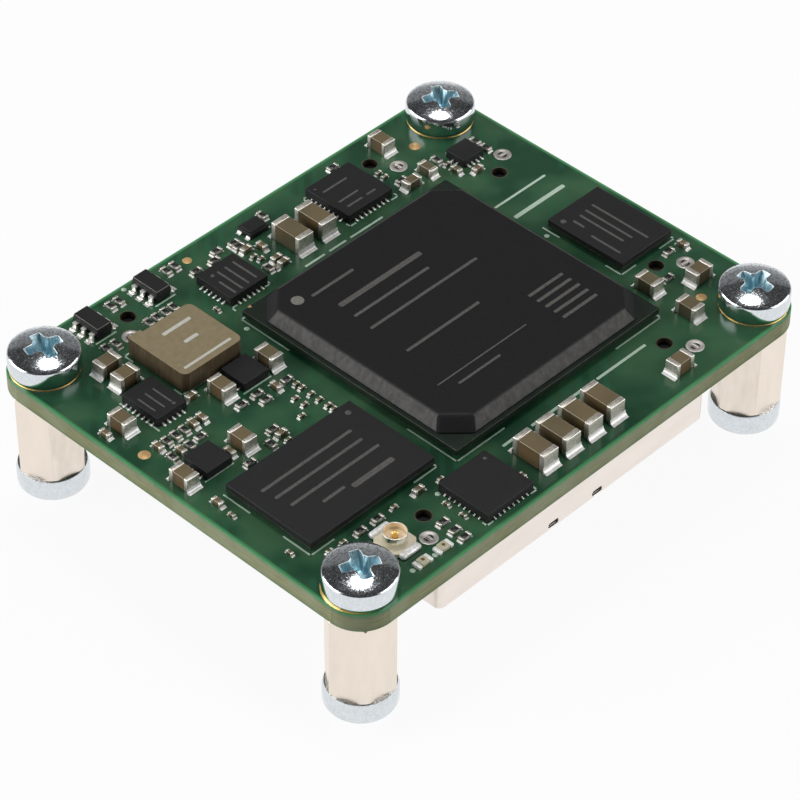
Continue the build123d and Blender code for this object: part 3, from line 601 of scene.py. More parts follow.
class Finish:
    """A material with its shader, and short ways to add pattern nodes that read Object coordinates."""

    def __init__(self, name, colour, roughness, metallic=0.0, **sockets):
        self.material = bpy.data.materials.new(name)
        self.material.use_nodes = True
        self.tree = self.material.node_tree
        self.shader = self.tree.nodes["Principled BSDF"]
        self.shader.inputs["Base Color"].default_value = colour
        self.shader.inputs["Roughness"].default_value = roughness
        self.shader.inputs["Metallic"].default_value = metallic
        for socket, value in sockets.items():
            self.shader.inputs[socket.replace("_", " ")].default_value = value
        self.coordinates = self.node("ShaderNodeTexCoord").outputs["Object"]

    def node(self, kind, **settings):
        made = self.tree.nodes.new(kind)
        for key, value in settings.items():
            setattr(made, key, value)
        return made

    def link(self, source, target):
        self.tree.links.new(source, target)

    def stretched(self, scale=(1, 1, 1), turn=0.0):
        """Object coordinates stretched along the axes and turned about Z."""
        mapping = self.node("ShaderNodeMapping")
        mapping.inputs["Scale"].default_value = scale
        mapping.inputs["Rotation"].default_value = (0, 0, math.radians(turn))
        self.link(self.coordinates, mapping.inputs["Vector"])
        return mapping.outputs["Vector"]

    def noise(self, grain, detail=3.0, vector=None, roughness=0.5):
        """Cloudy pattern, 0 to 1, with patches about grain millimetres across."""
        texture = self.node("ShaderNodeTexNoise")
        texture.inputs["Scale"].default_value = 1 / (grain * MM)
        texture.inputs["Detail"].default_value = detail
        texture.inputs["Roughness"].default_value = roughness
        self.link(vector or self.coordinates, texture.inputs["Vector"])
        return texture.outputs["Fac"]

    def ramp(self, factor, stops):
        """Colours at stops along a factor."""
        band = self.node("ShaderNodeValToRGB")
        elements = band.color_ramp.elements
        while len(elements) < len(stops):
            elements.new(0.5)
        for element, (position, colour) in zip(elements, stops):
            element.position = position
            element.color = colour
        self.link(factor, band.inputs["Fac"])
        return band.outputs["Color"]

    def map(self, factor, low, high, to_low, to_high):
        """A factor that runs from low to high, carried over to another range."""
        node = self.node("ShaderNodeMapRange")
        for name, value in zip(("From Min", "From Max", "To Min", "To Max"), (low, high, to_low, to_high)):
            node.inputs[name].default_value = value
        self.link(factor, node.inputs["Value"])
        return node.outputs["Result"]

    def math(self, operation, a, b=None):
        """One sum on a, or on a and b, each a number or a socket."""
        node = self.node("ShaderNodeMath", operation=operation)
        for socket, value in zip(node.inputs, (a, b)):
            if value is None:
                continue
            if isinstance(value, (int, float)):
                socket.default_value = value
            else:
                self.link(value, socket)
        return node.outputs["Value"]

    def mix(self, factor, a, b):
        """Colour between a and b, each a colour or a socket."""
        node = self.node("ShaderNodeMix", data_type="RGBA")
        self.link(factor, node.inputs["Factor"])
        for socket, value in ((node.inputs[6], a), (node.inputs[7], b)):
            if isinstance(value, tuple):
                socket.default_value = value
            else:
                self.link(value, socket)
        return node.outputs[2]

    def clouded(self, pattern, colour, spread):
        """A colour that a pattern makes darker and lighter by a share."""
        return self.ramp(pattern, [(0.3, scaled(colour, 1 - spread)), (0.7, scaled(colour, 1 + spread))])

    def normal(self):
        """Direction that the face looks in."""
        return self.node("ShaderNodeNewGeometry").outputs["Normal"]

    def sides(self, low, high):
        """1 on upright faces, 0 on tops and undersides."""
        level = self.math("ABSOLUTE", self.axis(self.normal(), 2))
        return self.map(level, low, high, 1, 0)

    def bevel_highlight(self, strength):
        """Painted highlight, as strong as asked, on the bevels between a top and its sides."""
        # bevel faces lean between upright and flat; they are painted paler as a highlight
        slope = self.axis(self.normal(), 2)
        rise = self.map(slope, 0.45, 0.62, 0, strength)
        fall = self.map(slope, 0.8, 0.93, 1, 0)
        return self.math("MULTIPLY", rise, fall)

    def axis(self, source, index):
        """X, Y or Z of a vector, by index."""
        node = self.node("ShaderNodeSeparateXYZ")
        self.link(source, node.inputs["Vector"])
        return node.outputs[index]

    def colour(self, source):
        self.link(source, self.shader.inputs["Base Color"])
        return self

    def roughness(self, source):
        self.link(source, self.shader.inputs["Roughness"])
        return self

    def bump(self, source, depth):
        """Relief of this depth in millimetres."""
        node = self.node("ShaderNodeBump")
        node.inputs["Distance"].default_value = depth * MM
        self.link(source, node.inputs["Height"])
        self.link(node.outputs["Normal"], self.shader.inputs["Normal"])
        return self


def mottled(
    name, colour, roughness, metallic=0.0, spread=0.12, grain=0.8, relief=0.0, relief_grain=0.15, **sockets,
):
    """Plain finish with soft changes of tone and a fine relief."""
    finish = Finish(name, colour, roughness, metallic, **sockets)
    finish.colour(finish.clouded(finish.noise(grain), colour, spread))
    finish.roughness(finish.map(finish.noise(grain * 0.6), 0.3, 0.7, roughness * 0.85, roughness * 1.15))
    if relief:
        finish.bump(finish.noise(relief_grain, 2.0), relief)
    return finish.material


def outline_distance(finish):
    """Distance out from the rectangle through the corners' middles: the corner radius at the outline."""
    low, size = node_box("circuit_board")
    squares = []
    for index, length in ((0, size.x), (1, size.y)):
        reach = finish.math("ABSOLUTE", finish.axis(finish.coordinates, index))
        short = finish.math("SUBTRACT", reach, (length / 2 - BOARD_CORNER) * MM)
        beyond = finish.math("MAXIMUM", short, 0.0)
        squares.append(finish.math("MULTIPLY", beyond, beyond))
    return finish.math("SQRT", finish.math("ADD", *squares))


def mask_colour(finish, distance):
    """Green mask over copper, with faint slanting tracks and a clear rim at the outline."""
    cloud = finish.noise(5.0, 2.0)
    pour = finish.ramp(cloud, [(0.38, tone(32, 70, 48)), (0.5, tone(46, 84, 59)), (0.62, tone(58, 94, 66))])
    tracks = finish.node("ShaderNodeTexWave", wave_type="BANDS", bands_direction="X")
    tracks.inputs["Scale"].default_value = 1 / (TRACK_PITCH * MM)
    tracks.inputs["Distortion"].default_value = 0.0
    finish.link(finish.stretched(turn=45), tracks.inputs["Vector"])
    track_zone = finish.map(finish.noise(6.0, 1.0), 0.52, 0.56, 0, 0.35)
    lines = finish.math("MULTIPLY", finish.map(tracks.outputs["Fac"], 0.55, 0.7, 0, 1), track_zone)
    face = finish.mix(lines, pour, tone(40, 98, 68))
    rim = finish.map(distance, (BOARD_CORNER - 0.36) * MM, (BOARD_CORNER - 0.12) * MM, 0, 1)
    return finish.mix(rim, face, tone(78, 146, 94))


def laminate_colour(finish, distance):
    """Glass laminate of the cut edges: plies, chalky patches, green at both faces, and painted shade that
    darkens it inside the holes.
    """
    height = finish.axis(finish.coordinates, 2)
    weave = finish.noise(0.5, 4.0, finish.stretched((0.35, 0.35, 2.2)))
    cut = finish.ramp(weave, [
        (0.3, tone(124, 126, 90)), (0.55, tone(136, 137, 99)), (0.75, tone(146, 149, 111)),
    ])
    wave = finish.math("SINE", finish.math("MULTIPLY", height, 2 * math.pi / (PLY_PITCH * MM)))
    cut = finish.mix(finish.map(wave, -1, 1, 0, 0.35), cut, tone(116, 121, 86))
    green_low = finish.map(height, (BOARD_UNDERSIDE + 0.1) * MM, (BOARD_UNDERSIDE + 0.45) * MM, 0.75, 0)
    cut = finish.mix(green_low, cut, tone(78, 112, 70))
    green_high = finish.map(height, (BOARD_TOP - 0.3) * MM, (BOARD_TOP - 0.12) * MM, 0, 0.9)
    cut = finish.mix(green_high, cut, tone(70, 128, 92))
    chalk = finish.map(finish.noise(3.0, 4.0), 0.42, 0.62, 0, 0.4)
    cut = finish.mix(chalk, cut, tone(150, 160, 134))
    # dark inside the holes: painted shade
    inside = finish.map(distance, (BOARD_CORNER - 0.7) * MM, (BOARD_CORNER - 0.5) * MM, 1, 0)
    return finish.mix(inside, cut, tone(44, 38, 26))


def board_finish():
    """Green solder mask above and below, and the bare laminate of the edges."""
    finish = Finish("solder_mask", tone(38, 82, 58), 0.2, Specular_IOR_Level=0.4)
    distance = outline_distance(finish)
    upright = finish.sides(0.3, 0.6)
    finish.colour(finish.mix(upright, mask_colour(finish, distance), laminate_colour(finish, distance)))
    finish.roughness(finish.map(upright, 0, 1, 0.17, 0.6))
    finish.bump(finish.noise(1.4, 3.0), 0.008)
    return finish.material


def plated_finish(name, colour, roughness, dents=0.01, dent_grain=0.12, streak=(1, 1, 1), spread=0.08):
    """Plated metal with small dents and long soft streaks."""
    finish = Finish(name, colour, roughness, 1.0)
    haze = finish.noise(1.2, 4.0, finish.stretched(streak))
    finish.colour(finish.clouded(haze, colour, spread))
    rubbed = finish.noise(0.5, 5.0, finish.stretched(streak))
    finish.roughness(finish.map(rubbed, 0.3, 0.7, roughness * 0.7, roughness * 1.4))
    finish.bump(finish.noise(dent_grain, 3.0), dents)
    return finish.material


def screw_finish():
    """Bright zinc with a bluish cast, its dome finely spotted with dark and with matt crystals."""
    colour = (0.72, 0.76, 0.79, 1)
    finish = Finish("bright_zinc", colour, 0.14, 1.0)
    haze = finish.ramp(finish.noise(0.6, 4.0), [(0.3, scaled(colour, 0.95)), (0.7, scaled(colour, 1.04))])
    dome = finish.map(finish.axis(finish.normal(), 2), 0.3, 0.6, 0.15, 1)
    dark = finish.math("MULTIPLY", dome, finish.map(finish.noise(0.2, 3.0), 0.47, 0.6, 0, 1))
    finish.colour(finish.mix(dark, haze, scaled(colour, 0.6)))
    matt = finish.math("MULTIPLY", dome, finish.map(finish.noise(0.13, 2.0), 0.5, 0.68, 0, 1))
    finish.roughness(finish.map(matt, 0, 1, 0.13, 0.28))
    finish.bump(matt, 0.0007)
    return finish.material


def recess_finish():
    """The same zinc in the driver recess, bluer and streaked by the punch."""
    colour = (0.48, 0.68, 0.75, 1)
    finish = Finish("recess_zinc", colour, 0.35, 1.0)
    streaks = finish.noise(0.12, 3.0, finish.stretched((1.0, 1.0, 0.12)))
    dark, bright = (0.30, 0.50, 0.60, 1), (0.80, 0.92, 0.94, 1)
    finish.colour(finish.ramp(streaks, [(0.3, dark), (0.52, colour), (0.74, bright)]))
    finish.bump(streaks, 0.03)
    return finish.material


def mould_finish(name, colour, roughness=0.5, grain=0.09, sand_and_highlight=0.0):
    """Filled epoxy moulding with a fine sandy skin, with a painted highlight along its top edges as strong
    as a share.
    """
    finish = Finish(name, colour, roughness)
    finish.shader.inputs["Specular IOR Level"].default_value = 0.35
    grit = finish.noise(grain, 3.0)
    skin = finish.ramp(grit, [(0.3, scaled(colour, 0.85)), (0.7, scaled(colour, 1.18))])
    # painted highlight on the top edges, as strong as the given share
    edge = finish.bevel_highlight(sand_and_highlight)
    finish.colour(finish.mix(edge, skin, tone(190, 184, 170)))
    finish.roughness(finish.map(finish.noise(0.9, 3.0), 0.3, 0.7, roughness * 0.9, roughness * 1.12))
    finish.bump(grit, 0.006)
    return finish.material


def cap_finish():
    """The processor's moulding: smooth dark top, paler sandblasted slopes, and cut corners kept as dark as
    the top, a painted shade.
    """
    finish = Finish("cap_moulding", tone(26, 26, 28), 0.5, Specular_IOR_Level=0.2)
    normal = finish.normal()
    slope = finish.map(finish.axis(normal, 2), 0.75, 0.97, 1, 0)
    across = [finish.math("ABSOLUTE", finish.axis(normal, index)) for index in (0, 1)]
    # the cut corners keep the dark top colour: painted shade
    outside_shaded_corners = finish.map(finish.math("MINIMUM", *across), 0.08, 0.16, 1, 0)
    # where the paler sandblasted slopes go, leaving out the corners' painted shade
    sand_and_highlight = finish.math("MULTIPLY", slope, outside_shaded_corners)
    grit = finish.noise(0.16, 4.0)
    top = finish.ramp(grit, [(0.3, tone(23, 23, 25)), (0.7, tone(29, 29, 31))])
    sand = finish.noise(0.5, 5.0, finish.stretched((1, 1, 0.5)), 0.65)
    side = finish.ramp(sand, [(0.36, tone(72, 71, 70)), (0.64, tone(90, 89, 88))])
    finish.colour(finish.mix(sand_and_highlight, top, side))
    finish.roughness(finish.map(slope, 0, 1, 0.46, 0.7))
    finish.bump(finish.noise(0.1, 3.0), 0.008)
    return finish.material


def package_mask_finish():
    """Almost black green mask of a package board, with a painted highlight on the bevels along its cut
    edges.
    """
    finish = Finish("package_mask", tone(24, 34, 26), 0.4, Specular_IOR_Level=0.3)
    cloud = finish.noise(1.0)
    mask = finish.ramp(cloud, [(0.3, tone(20, 30, 22)), (0.7, tone(28, 40, 30))])
    # paler bevels along the cut edges: a painted highlight
    edge = finish.bevel_highlight(0.8)
    finish.colour(finish.mix(edge, mask, tone(120, 124, 104)))
    finish.bump(finish.noise(0.3), 0.004)
    return finish.material


def composite_finish():
    """Pressed powder block: even olive-tan top, dark drawn streaks down the sides."""
    finish = Finish("pressed_powder", tone(133, 118, 90), 0.55)
    upright = finish.sides(0.35, 0.8)
    top = finish.ramp(finish.noise(0.5, 5.0), [(0.3, tone(124, 111, 82)), (0.7, tone(136, 123, 93))])
    drawn = finish.noise(0.26, 4.0, finish.stretched((1, 1, 0.12)), 0.6)
    side = finish.ramp(drawn, [
        (0.35, tone(66, 54, 36)), (0.6, tone(80, 67, 45)), (0.8, tone(128, 112, 82)),
    ])
    finish.colour(finish.mix(upright, top, side))
    finish.bump(drawn, 0.015)
    return finish.material


def ceramic_finish():
    """Fired capacitor ceramic, olive-tan above and darker, more orange on the sides, where the darkness is
    painted shade; its bevels paler, a painted highlight.
    """
    finish = Finish("fired_ceramic", tone(120, 102, 76), 0.42)
    upright = finish.sides(0.35, 0.8)
    shade = finish.noise(3.5, 1.0)
    top = finish.ramp(shade, [(0.4, tone(94, 84, 60)), (0.6, tone(106, 92, 64))])
    # darker sides: painted shade
    side = finish.ramp(shade, [(0.42, tone(72, 66, 48)), (0.58, tone(98, 80, 53))])
    # paler bevels: a painted highlight
    edge = finish.bevel_highlight(0.8)
    finish.colour(finish.mix(edge, finish.mix(upright, top, side), tone(208, 198, 176)))
    finish.bump(finish.noise(0.12, 3.0), 0.006)
    return finish.material


def tin_finish():
    """Matte tin over silver, with a painted highlight along the top edges."""
    dull = (0.62, 0.59, 0.53, 1)
    finish = Finish("matte_tin", dull, 0.45, 0.9)
    cloud = finish.noise(0.2, 4.0, finish.stretched((1, 1, 0.9)), 0.6)
    plate = finish.ramp(cloud, [(0.35, scaled(dull, 0.76)), (0.65, scaled(dull, 1.24))])
    # paler top edges: a painted highlight
    edge = finish.bevel_highlight(1.0)
    finish.colour(finish.mix(edge, plate, (0.98, 0.96, 0.9, 1)))
    finish.bump(finish.noise(0.15, 2.0), 0.008)
    return finish.material


def resistor_finish():
    """Black glass coat on top of a white ceramic chip."""
    finish = Finish("resistor_coat", tone(22, 22, 22), 0.35)
    bare = finish.map(finish.axis(finish.normal(), 2), 0.4, 0.8, 1, 0)
    coat = finish.ramp(finish.noise(0.2), [(0.3, tone(16, 16, 16)), (0.7, tone(30, 28, 27))])
    chip = finish.ramp(finish.noise(0.15), [(0.3, tone(150, 150, 142)), (0.7, tone(186, 184, 174))])
    finish.colour(finish.mix(bare, coat, chip))
    finish.roughness(finish.map(bare, 0, 1, 0.35, 0.6))
    return finish.material


MASK = board_finish()
PACKAGE_MASK = package_mask_finish()
ZINC = screw_finish()
RECESS = recess_finish()
# paler zinc on the recess's edge bevel: a painted highlight
RECESS_EDGE_HIGHLIGHT_ZINC = plated_finish("recess_edge_highlight_zinc", (0.93, 0.96, 0.98, 1), 0.55, 0.004, 0.15)
NICKEL = plated_finish("satin_nickel", (0.86, 0.77, 0.68, 1), 0.38, 0.002, 0.5, (1, 1, 0.25), 0.03)
SHIELD_NICKEL = plated_finish("shield_nickel", (0.86, 0.79, 0.73, 1), 0.36, 0.002, 0.4, (0.3, 0.3, 1), 0.03)
GOLD = plated_finish("gold_flash", (0.95, 0.66, 0.23, 1), 0.38, 0.003, 0.3)
PALE_GOLD = plated_finish("pale_gold", (0.90, 0.86, 0.76, 1), 0.3, 0.003, 0.3)
GILT = mottled("gilt_inside", tone(240, 222, 192), 0.45, 0.25, 0.08, 0.3)
COPPER_PAD = mottled("bare_pad", tone(204, 166, 112), 0.45, 0.3, grain=0.4)
SOLDER = plated_finish("bright_solder", (0.88, 0.88, 0.86, 1), 0.26, 0.02, 0.2)
ROUGH_SOLDER = mottled("rough_solder", (0.84, 0.82, 0.80, 1), 0.42, 0.35, 0.3, 0.3, 0.03, 0.16)
FOOT_SOLDER = mottled("foot_solder", (0.92, 0.91, 0.88, 1), 0.32, 0.25, 0.12, 0.3, 0.003, 0.3)
LEAD_TIN = mottled("lead_tin", (0.90, 0.88, 0.84, 1), 0.3, 0.6, 0.12, 0.3, 0.003, 0.3)
DULL_SOLDER = plated_finish("dull_solder", (0.60, 0.57, 0.54, 1), 0.5, 0.02, 0.2, spread=0.2)
SILVER = plated_finish("silver_neck", (0.86, 0.84, 0.78, 1), 0.14, 0.004, 0.3)
TIN = tin_finish()
CERAMIC = ceramic_finish()
RESISTOR_COAT = resistor_finish()
CAP_MOULD = cap_finish()
PRESSED_POWDER = composite_finish()
MOULD = mould_finish("black_moulding", tone(25, 25, 26))
# black moulding with a painted highlight along its top edges, for the six-pin chips
EDGE_HIGHLIGHT_MOULD = mould_finish("black_moulding_edge_highlight", tone(25, 25, 26), sand_and_highlight=0.6)
HOUSING = mould_finish("housing_moulding", tone(24, 24, 25), 0.45, 0.2)
CREAM = mottled("cream_moulding", tone(214, 205, 180), 0.45, spread=0.05, grain=0.6)
LEGEND = mottled("legend_ink", tone(178, 200, 182), 0.55, spread=0.08, grain=0.2)
LASER = mottled("laser_mark", tone(80, 78, 75), 0.7, spread=0.25, grain=0.2)
PALE_BAR = mottled("pale_bars", tone(188, 186, 176), 0.6, spread=0.12, grain=0.12)
LASER_DOT = mottled("laser_dot", tone(112, 110, 104), 0.7, spread=0.2, grain=0.1)
LENS = mottled("lamp_resin", tone(184, 180, 154), 0.25, spread=0.12, grain=0.2, Coat_Weight=0.3)
LAMP_CORE = mottled("lamp_core", tone(96, 72, 28), 0.4, grain=0.1)
# darker disc that paints the shade of a pit in the tab joints
PIT_SHADE = mottled("pit_shade", tone(142, 130, 116), 0.7, grain=0.1)
RIM_BROWN = mottled("drilled_rim", tone(62, 68, 46), 0.6, spread=0.25, grain=0.15)


# Dressing

def dress(piece, name, material, slot, *nodes):
    """Names a finished piece, gives it its finish, attaches it to the root body and hides the CAD nodes
    that it stands for.
    """
    piece.name = name
    piece.data.name = name
    if material is not None:
        piece.data.materials.clear()
        piece.data.materials.append(material)
    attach(piece, "root")
    if nodes:
        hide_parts(*nodes)
    return piece


# Board

def make_board():
    """Board with rounded corners and the holes of the screws, the pegs and the shield tabs."""
    board = round_corners(node_block("circuit_board"), BOARD_CORNER, 16)
    soften(board, BOARD_EDGE, 2, 60)
    start = BOARD_UNDERSIDE - DRILL_START
    tools = [rod(SCREW_HOLE, DRILL_LENGTH, (x, y, start)) for x, y, z, turn in places("top_screws")]
    for name in CONNECTORS:
        tools += [rod(PEG_HOLE, DRILL_LENGTH, (x, y, start), 32) for x, y in peg_spots(name)]
        for x, y, turn in tab_spots(name):
            tools.append(block((*TAB_HOLE, DRILL_LENGTH), (x, y, start), turn))
    combine(board, join(tools))
    return dress(smooth(board, 1), "circuit_board_piece", MASK, "board_laminate", "circuit_board")


def connector_box(name):
    """Middle and size of a connector's shield, and whether the connector lies along X."""
    low, size = node_box(name + "_connector_shield")
    return low + size / 2, size, size.x > size.y


def peg_spots(name):
    """Middles of the two locating pegs."""
    centre, size, along_x = connector_box(name)
    half = max(size.x, size.y) / 2 - PEG_INSET
    if along_x:
        return [(centre.x + side * half, centre.y + PEG_OFFSET) for side in (-1, 1)]
    return [(centre.x - PEG_OFFSET, centre.y + side * half) for side in (-1, 1)]


def tab_spots(name):
    """Middles and turns of the two shield tabs."""
    centre, size, along_x = connector_box(name)
    half = max(size.x, size.y) / 2 - TAB_INSET
    if along_x:
        return [(centre.x + side * half, centre.y - TAB_OFFSET, 0) for side in (-1, 1)]
    return [(centre.x + TAB_OFFSET, centre.y + side * half, 90) for side in (-1, 1)]


def make_screw_pads():
    """Plated rings round the screw holes, on both faces of the board."""
    rings = []
    for x, y, z, turn in places("top_screws"):
        if x < 0 and y < 0:
            x += PAD_DRIFT[0]
            y += PAD_DRIFT[1]
        for height, across in (
            (BOARD_TOP, PAD_DIAMETER), (BOARD_UNDERSIDE - UNDER_PAD_DROP, UNDER_PAD_DIAMETER),
        ):
            ring = rod(across, PAD_THICKNESS, (x, y, height), 64)
            combine(ring, rod(PAD_HOLE, 1, (x, y, height - 0.5), 48))
            rings.append(soften(ring, 0.015, 2))
    dress(join(rings), "screw_pads", GOLD, "gold_plate")


def dot(diameter, x, y, height, sides):
    """Thin round mark lying on a face."""
    return soften(rod(diameter, MARK_THICKNESS, (x, y, height), sides), MARK_EDGE, 1)


def make_fiducials():
    """Round bare pads by which the board is lined up."""
    dots = [dot(2 * radius, x, y, BOARD_TOP, 32) for x, y, radius in FIDUCIALS]
    dress(join(dots), "fiducial_marks", COPPER_PAD, "gold_plate")


def legend_line(x0, y0, x1, y1, width=LEGEND_WIDTH):
    """Line of white ink from one point to another, with round ends."""
    length = math.hypot(x1 - x0, y1 - y0) + width
    turn = math.degrees(math.atan2(y1 - y0, x1 - x0))
    line = block((length, width, LEGEND_THICKNESS), ((x0 + x1) / 2, (y0 + y1) / 2, BOARD_TOP), turn)
    return round_corners(line, width * 0.3, 2)


def make_legend():
    """Corner marks, plain bars and first-pin dots in white ink."""
    marks = []
    for path in LEGEND_PATHS:
        marks += [legend_line(*a, *b) for a, b in zip(path, path[1:])]
    marks += [legend_line(x0, y, x1, y, width) for y, x0, x1, width in LEGEND_BARS]
    for x, y in LEGEND_DOTS:
        ink = rod(LEGEND_DOT, LEGEND_THICKNESS, (x, y, BOARD_TOP), 20)
        marks.append(soften(ink, LEGEND_DOT_EDGE, 1))
    dress(join(marks), "legend_marks", LEGEND, "board_laminate")


def make_hole_rims():
    """Thin drilled rims of the peg holes."""
    rims = []
    for name in CONNECTORS:
        for x, y in peg_spots(name):
            ring = rod(PEG_RIM, MARK_THICKNESS, (x, y, BOARD_TOP), 36)
            combine(ring, rod(PEG_HOLE, 1, (x, y, BOARD_TOP - 0.5), 36))
            rims.append(soften(ring, MARK_EDGE, 1))
    dress(join(rims), "peg_hole_rims", RIM_BROWN, "board_laminate")


def make_tab_joints():
    """Solder disc with a ridge over the end of each shield tab, and a darker disc beside the ridge that
    paints the shade of a small pit.
    """
    caps = []
    pit_shades = []
    for name in CONNECTORS:
        for x, y, turn in tab_spots(name):
            cap = rod(TAB_JOINT, TAB_JOINT_HEIGHT, (x, y, BOARD_TOP), 32)
            build_up(cap, TAB_JOINT_STEPS)
            ridge = block(TAB_RIDGE, (x, y, BOARD_TOP), turn)
            caps += [soften(cap, 0.015, 2), soften(ridge, 0.05, 2)]
            step = (-0.1, -0.18) if turn else (-0.18, 0.1)
            # darker disc beside the ridge: painted shade of a pit
            pit_shades.append(dot(TAB_PIT_SHADE, x + step[0], y + step[1], BOARD_TOP + TAB_JOINT_HEIGHT, 14))
    dress(join(caps), "shield_tab_joints", DULL_SOLDER, "solder", "shield_tab_solder")
    dress(join(pit_shades), "shield_tab_pit_shades", PIT_SHADE, "solder")


# Screws and standoffs

def dome_steps(count=7):
    """Insets and rises of the rounded shoulder, then on a ball from the rim up to the crown."""
    rim = RIM_DIAMETER / 2
    crown = CROWN_DIAMETER / 2
    rise = HEAD_HEIGHT - RIM_HEIGHT
    middle = (rim ** 2 - crown ** 2 + rise ** 2) / (2 * rise)
    radius = math.hypot(crown, middle)
    reaches = [rim + (crown - rim) * i / count for i in range(count + 1)]
    heights = [math.sqrt(radius ** 2 - reach ** 2) for reach in reaches]
    step = (HEAD_DIAMETER / 2 - rim) / 6
    lift = (RIM_HEIGHT - HEAD_SIDE_HEIGHT) / 6
    # the shoulder leans in by one, two and three sixths while it rises by three, two and one
    shoulder = [(step, 3 * lift), (2 * step, 2 * lift), (3 * step, lift)]
    return shoulder + [(reaches[i] - reaches[i + 1], heights[i + 1] - heights[i]) for i in range(count)]


def recess_tool():
    """Cross with rounded roots and wings that narrow towards the tip."""
    floor = HEAD_HEIGHT - RECESS_DEPTH
    height = RECESS_DEPTH + RECESS_OVERRUN
    wings = []
    for turn in (0, 90):
        wing = block((RECESS_SPAN, RECESS_ARM, height), (0, 0, floor))
        narrow_end(wing, floor, *RECESS_WING_TAPER)
        wing.rotation_euler.z = math.radians(turn)
        pick(wing)
        wings.append(settle())
    tool = combine(wings[0], wings[1], "UNION")
    roots = rod(RECESS_ROOT, height, (0, 0, floor), 4)
    narrow_end(roots, floor, *RECESS_ROOT_TAPER)
    return combine(tool, roots, "UNION")


def bevel_recess_edge_highlight(head):
    """Bevels the edge where the dome meets the recess, in the third finish: a paler zinc, a painted
    highlight.
    """
    pick(head)
    bpy.ops.object.mode_set(mode="EDIT")
    bpy.ops.mesh.select_mode(type="EDGE")
    bpy.ops.mesh.select_all(action="DESELECT")
    mesh = bmesh.from_edit_mesh(head.data)
    for edge in mesh.edges:
        kinds = {face.material_index for face in edge.link_faces}
        edge.select = kinds == {0, 1}
    mesh.select_flush_mode()
    bmesh.update_edit_mesh(head.data)
    bpy.ops.mesh.bevel(offset=RECESS_HIGHLIGHT_BEVEL * MM, segments=2, affect="EDGES", material=2)
    leave_edit()


def screw_model(shank_length):
    """Head with its bearing face at zero, recess in a second finish, shank below."""
    head = rod(HEAD_DIAMETER, HEAD_SIDE_HEIGHT, (0, 0, 0), 72)
    split_level(head, HEAD_FOOT_HEIGHT)
    narrowing = HEAD_FOOT_DIAMETER / HEAD_DIAMETER
    narrow_end(head, 0, narrowing, narrowing)
    build_up(head, dome_steps())
    combine(head, recess_tool())
    # the third finish is a paler zinc that paints a highlight on the recess's edge
    for finish in (ZINC, RECESS, RECESS_EDGE_HIGHLIGHT_ZINC):
        head.data.materials.append(finish)
    for face in head.data.polygons:
        centre = face.center / MM
        reach = math.hypot(centre.x, centre.y)
        inside = reach < RECESS_SPAN / 2 + 0.1 and HEAD_FOOT_HEIGHT < centre.z < HEAD_HEIGHT - 0.01
        leaning = face.normal.z < 0.75 or centre.z < HEAD_HEIGHT - RECESS_DEPTH + 0.01
        face.material_index = int(inside and leaning)
    bevel_recess_edge_highlight(head)
    soften(head, HEAD_EDGE, 3, 30)
    shank = rod(SHANK_DIAMETER, shank_length, (0, 0, -shank_length), 32)
    shank.data.materials.append(ZINC)
    return join([head, soften(shank, SHANK_EDGE, 2)])


def make_screws():
    """Upper screws on the board, and the lower ones upside down under the standoffs."""
    upper = []
    for x, y, z, turn in places("top_screws"):
        corner = (1 if x > 0 else -1, 1 if y > 0 else -1)
        upper.append((x, y, BOARD_TOP, RECESS_TURNS[corner]))
    lower = [(x, y, HEAD_HEIGHT, turn) for x, y, z, turn in upper]
    for name, node, spots, flip in (
        ("upper_screws", "top_screws", upper, False), ("lower_screws", "bottom_screws", lower, True),
    ):
        master = screw_model(node_box(node)[1].z - HEAD_HEIGHT)
        dress(repeat(master, spots, flip), name, None, "screw_zinc", node)


def hexagon_turn(node, x, y):
    """Turn of a hexagon about Z, read from the corner furthest from its middle."""
    offsets = [vertex.co.xy / MM - Vector((x, y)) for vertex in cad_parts[node].data.vertices]
    near = [offset for offset in offsets if offset.length < STANDOFF_FLATS]
    corner = max(near, key=lambda offset: offset.length)
    return math.degrees(math.atan2(corner.y, corner.x))


def make_standoffs():
    """Hexagons with turned ends and a bore, each at the turn of its CAD solid."""
    height = node_box("standoffs")[1].z
    corner = STANDOFF_FLATS / math.sqrt(3) * 2
    posts = []
    for x, y, z, turn in places("standoffs"):
        # a rod's first corner lies on Y, a quarter turn from X
        post = rod(corner, height, (x, y, z), 6, hexagon_turn("standoffs", x, y) - 90)
        turned = rod(corner + 0.02, height, (x, y, z), 72)
        combine(post, soften(turned, STANDOFF_CHAMFER, 1), "INTERSECT")
        combine(post, rod(STANDOFF_BORE, height + 2, (x, y, z - 1), 32))
        posts.append(soften(post, STANDOFF_EDGE, 3, 25))
    dress(join(posts), "hexagonal_standoffs", NICKEL, "standoff_nickel", "standoffs")


# Packages

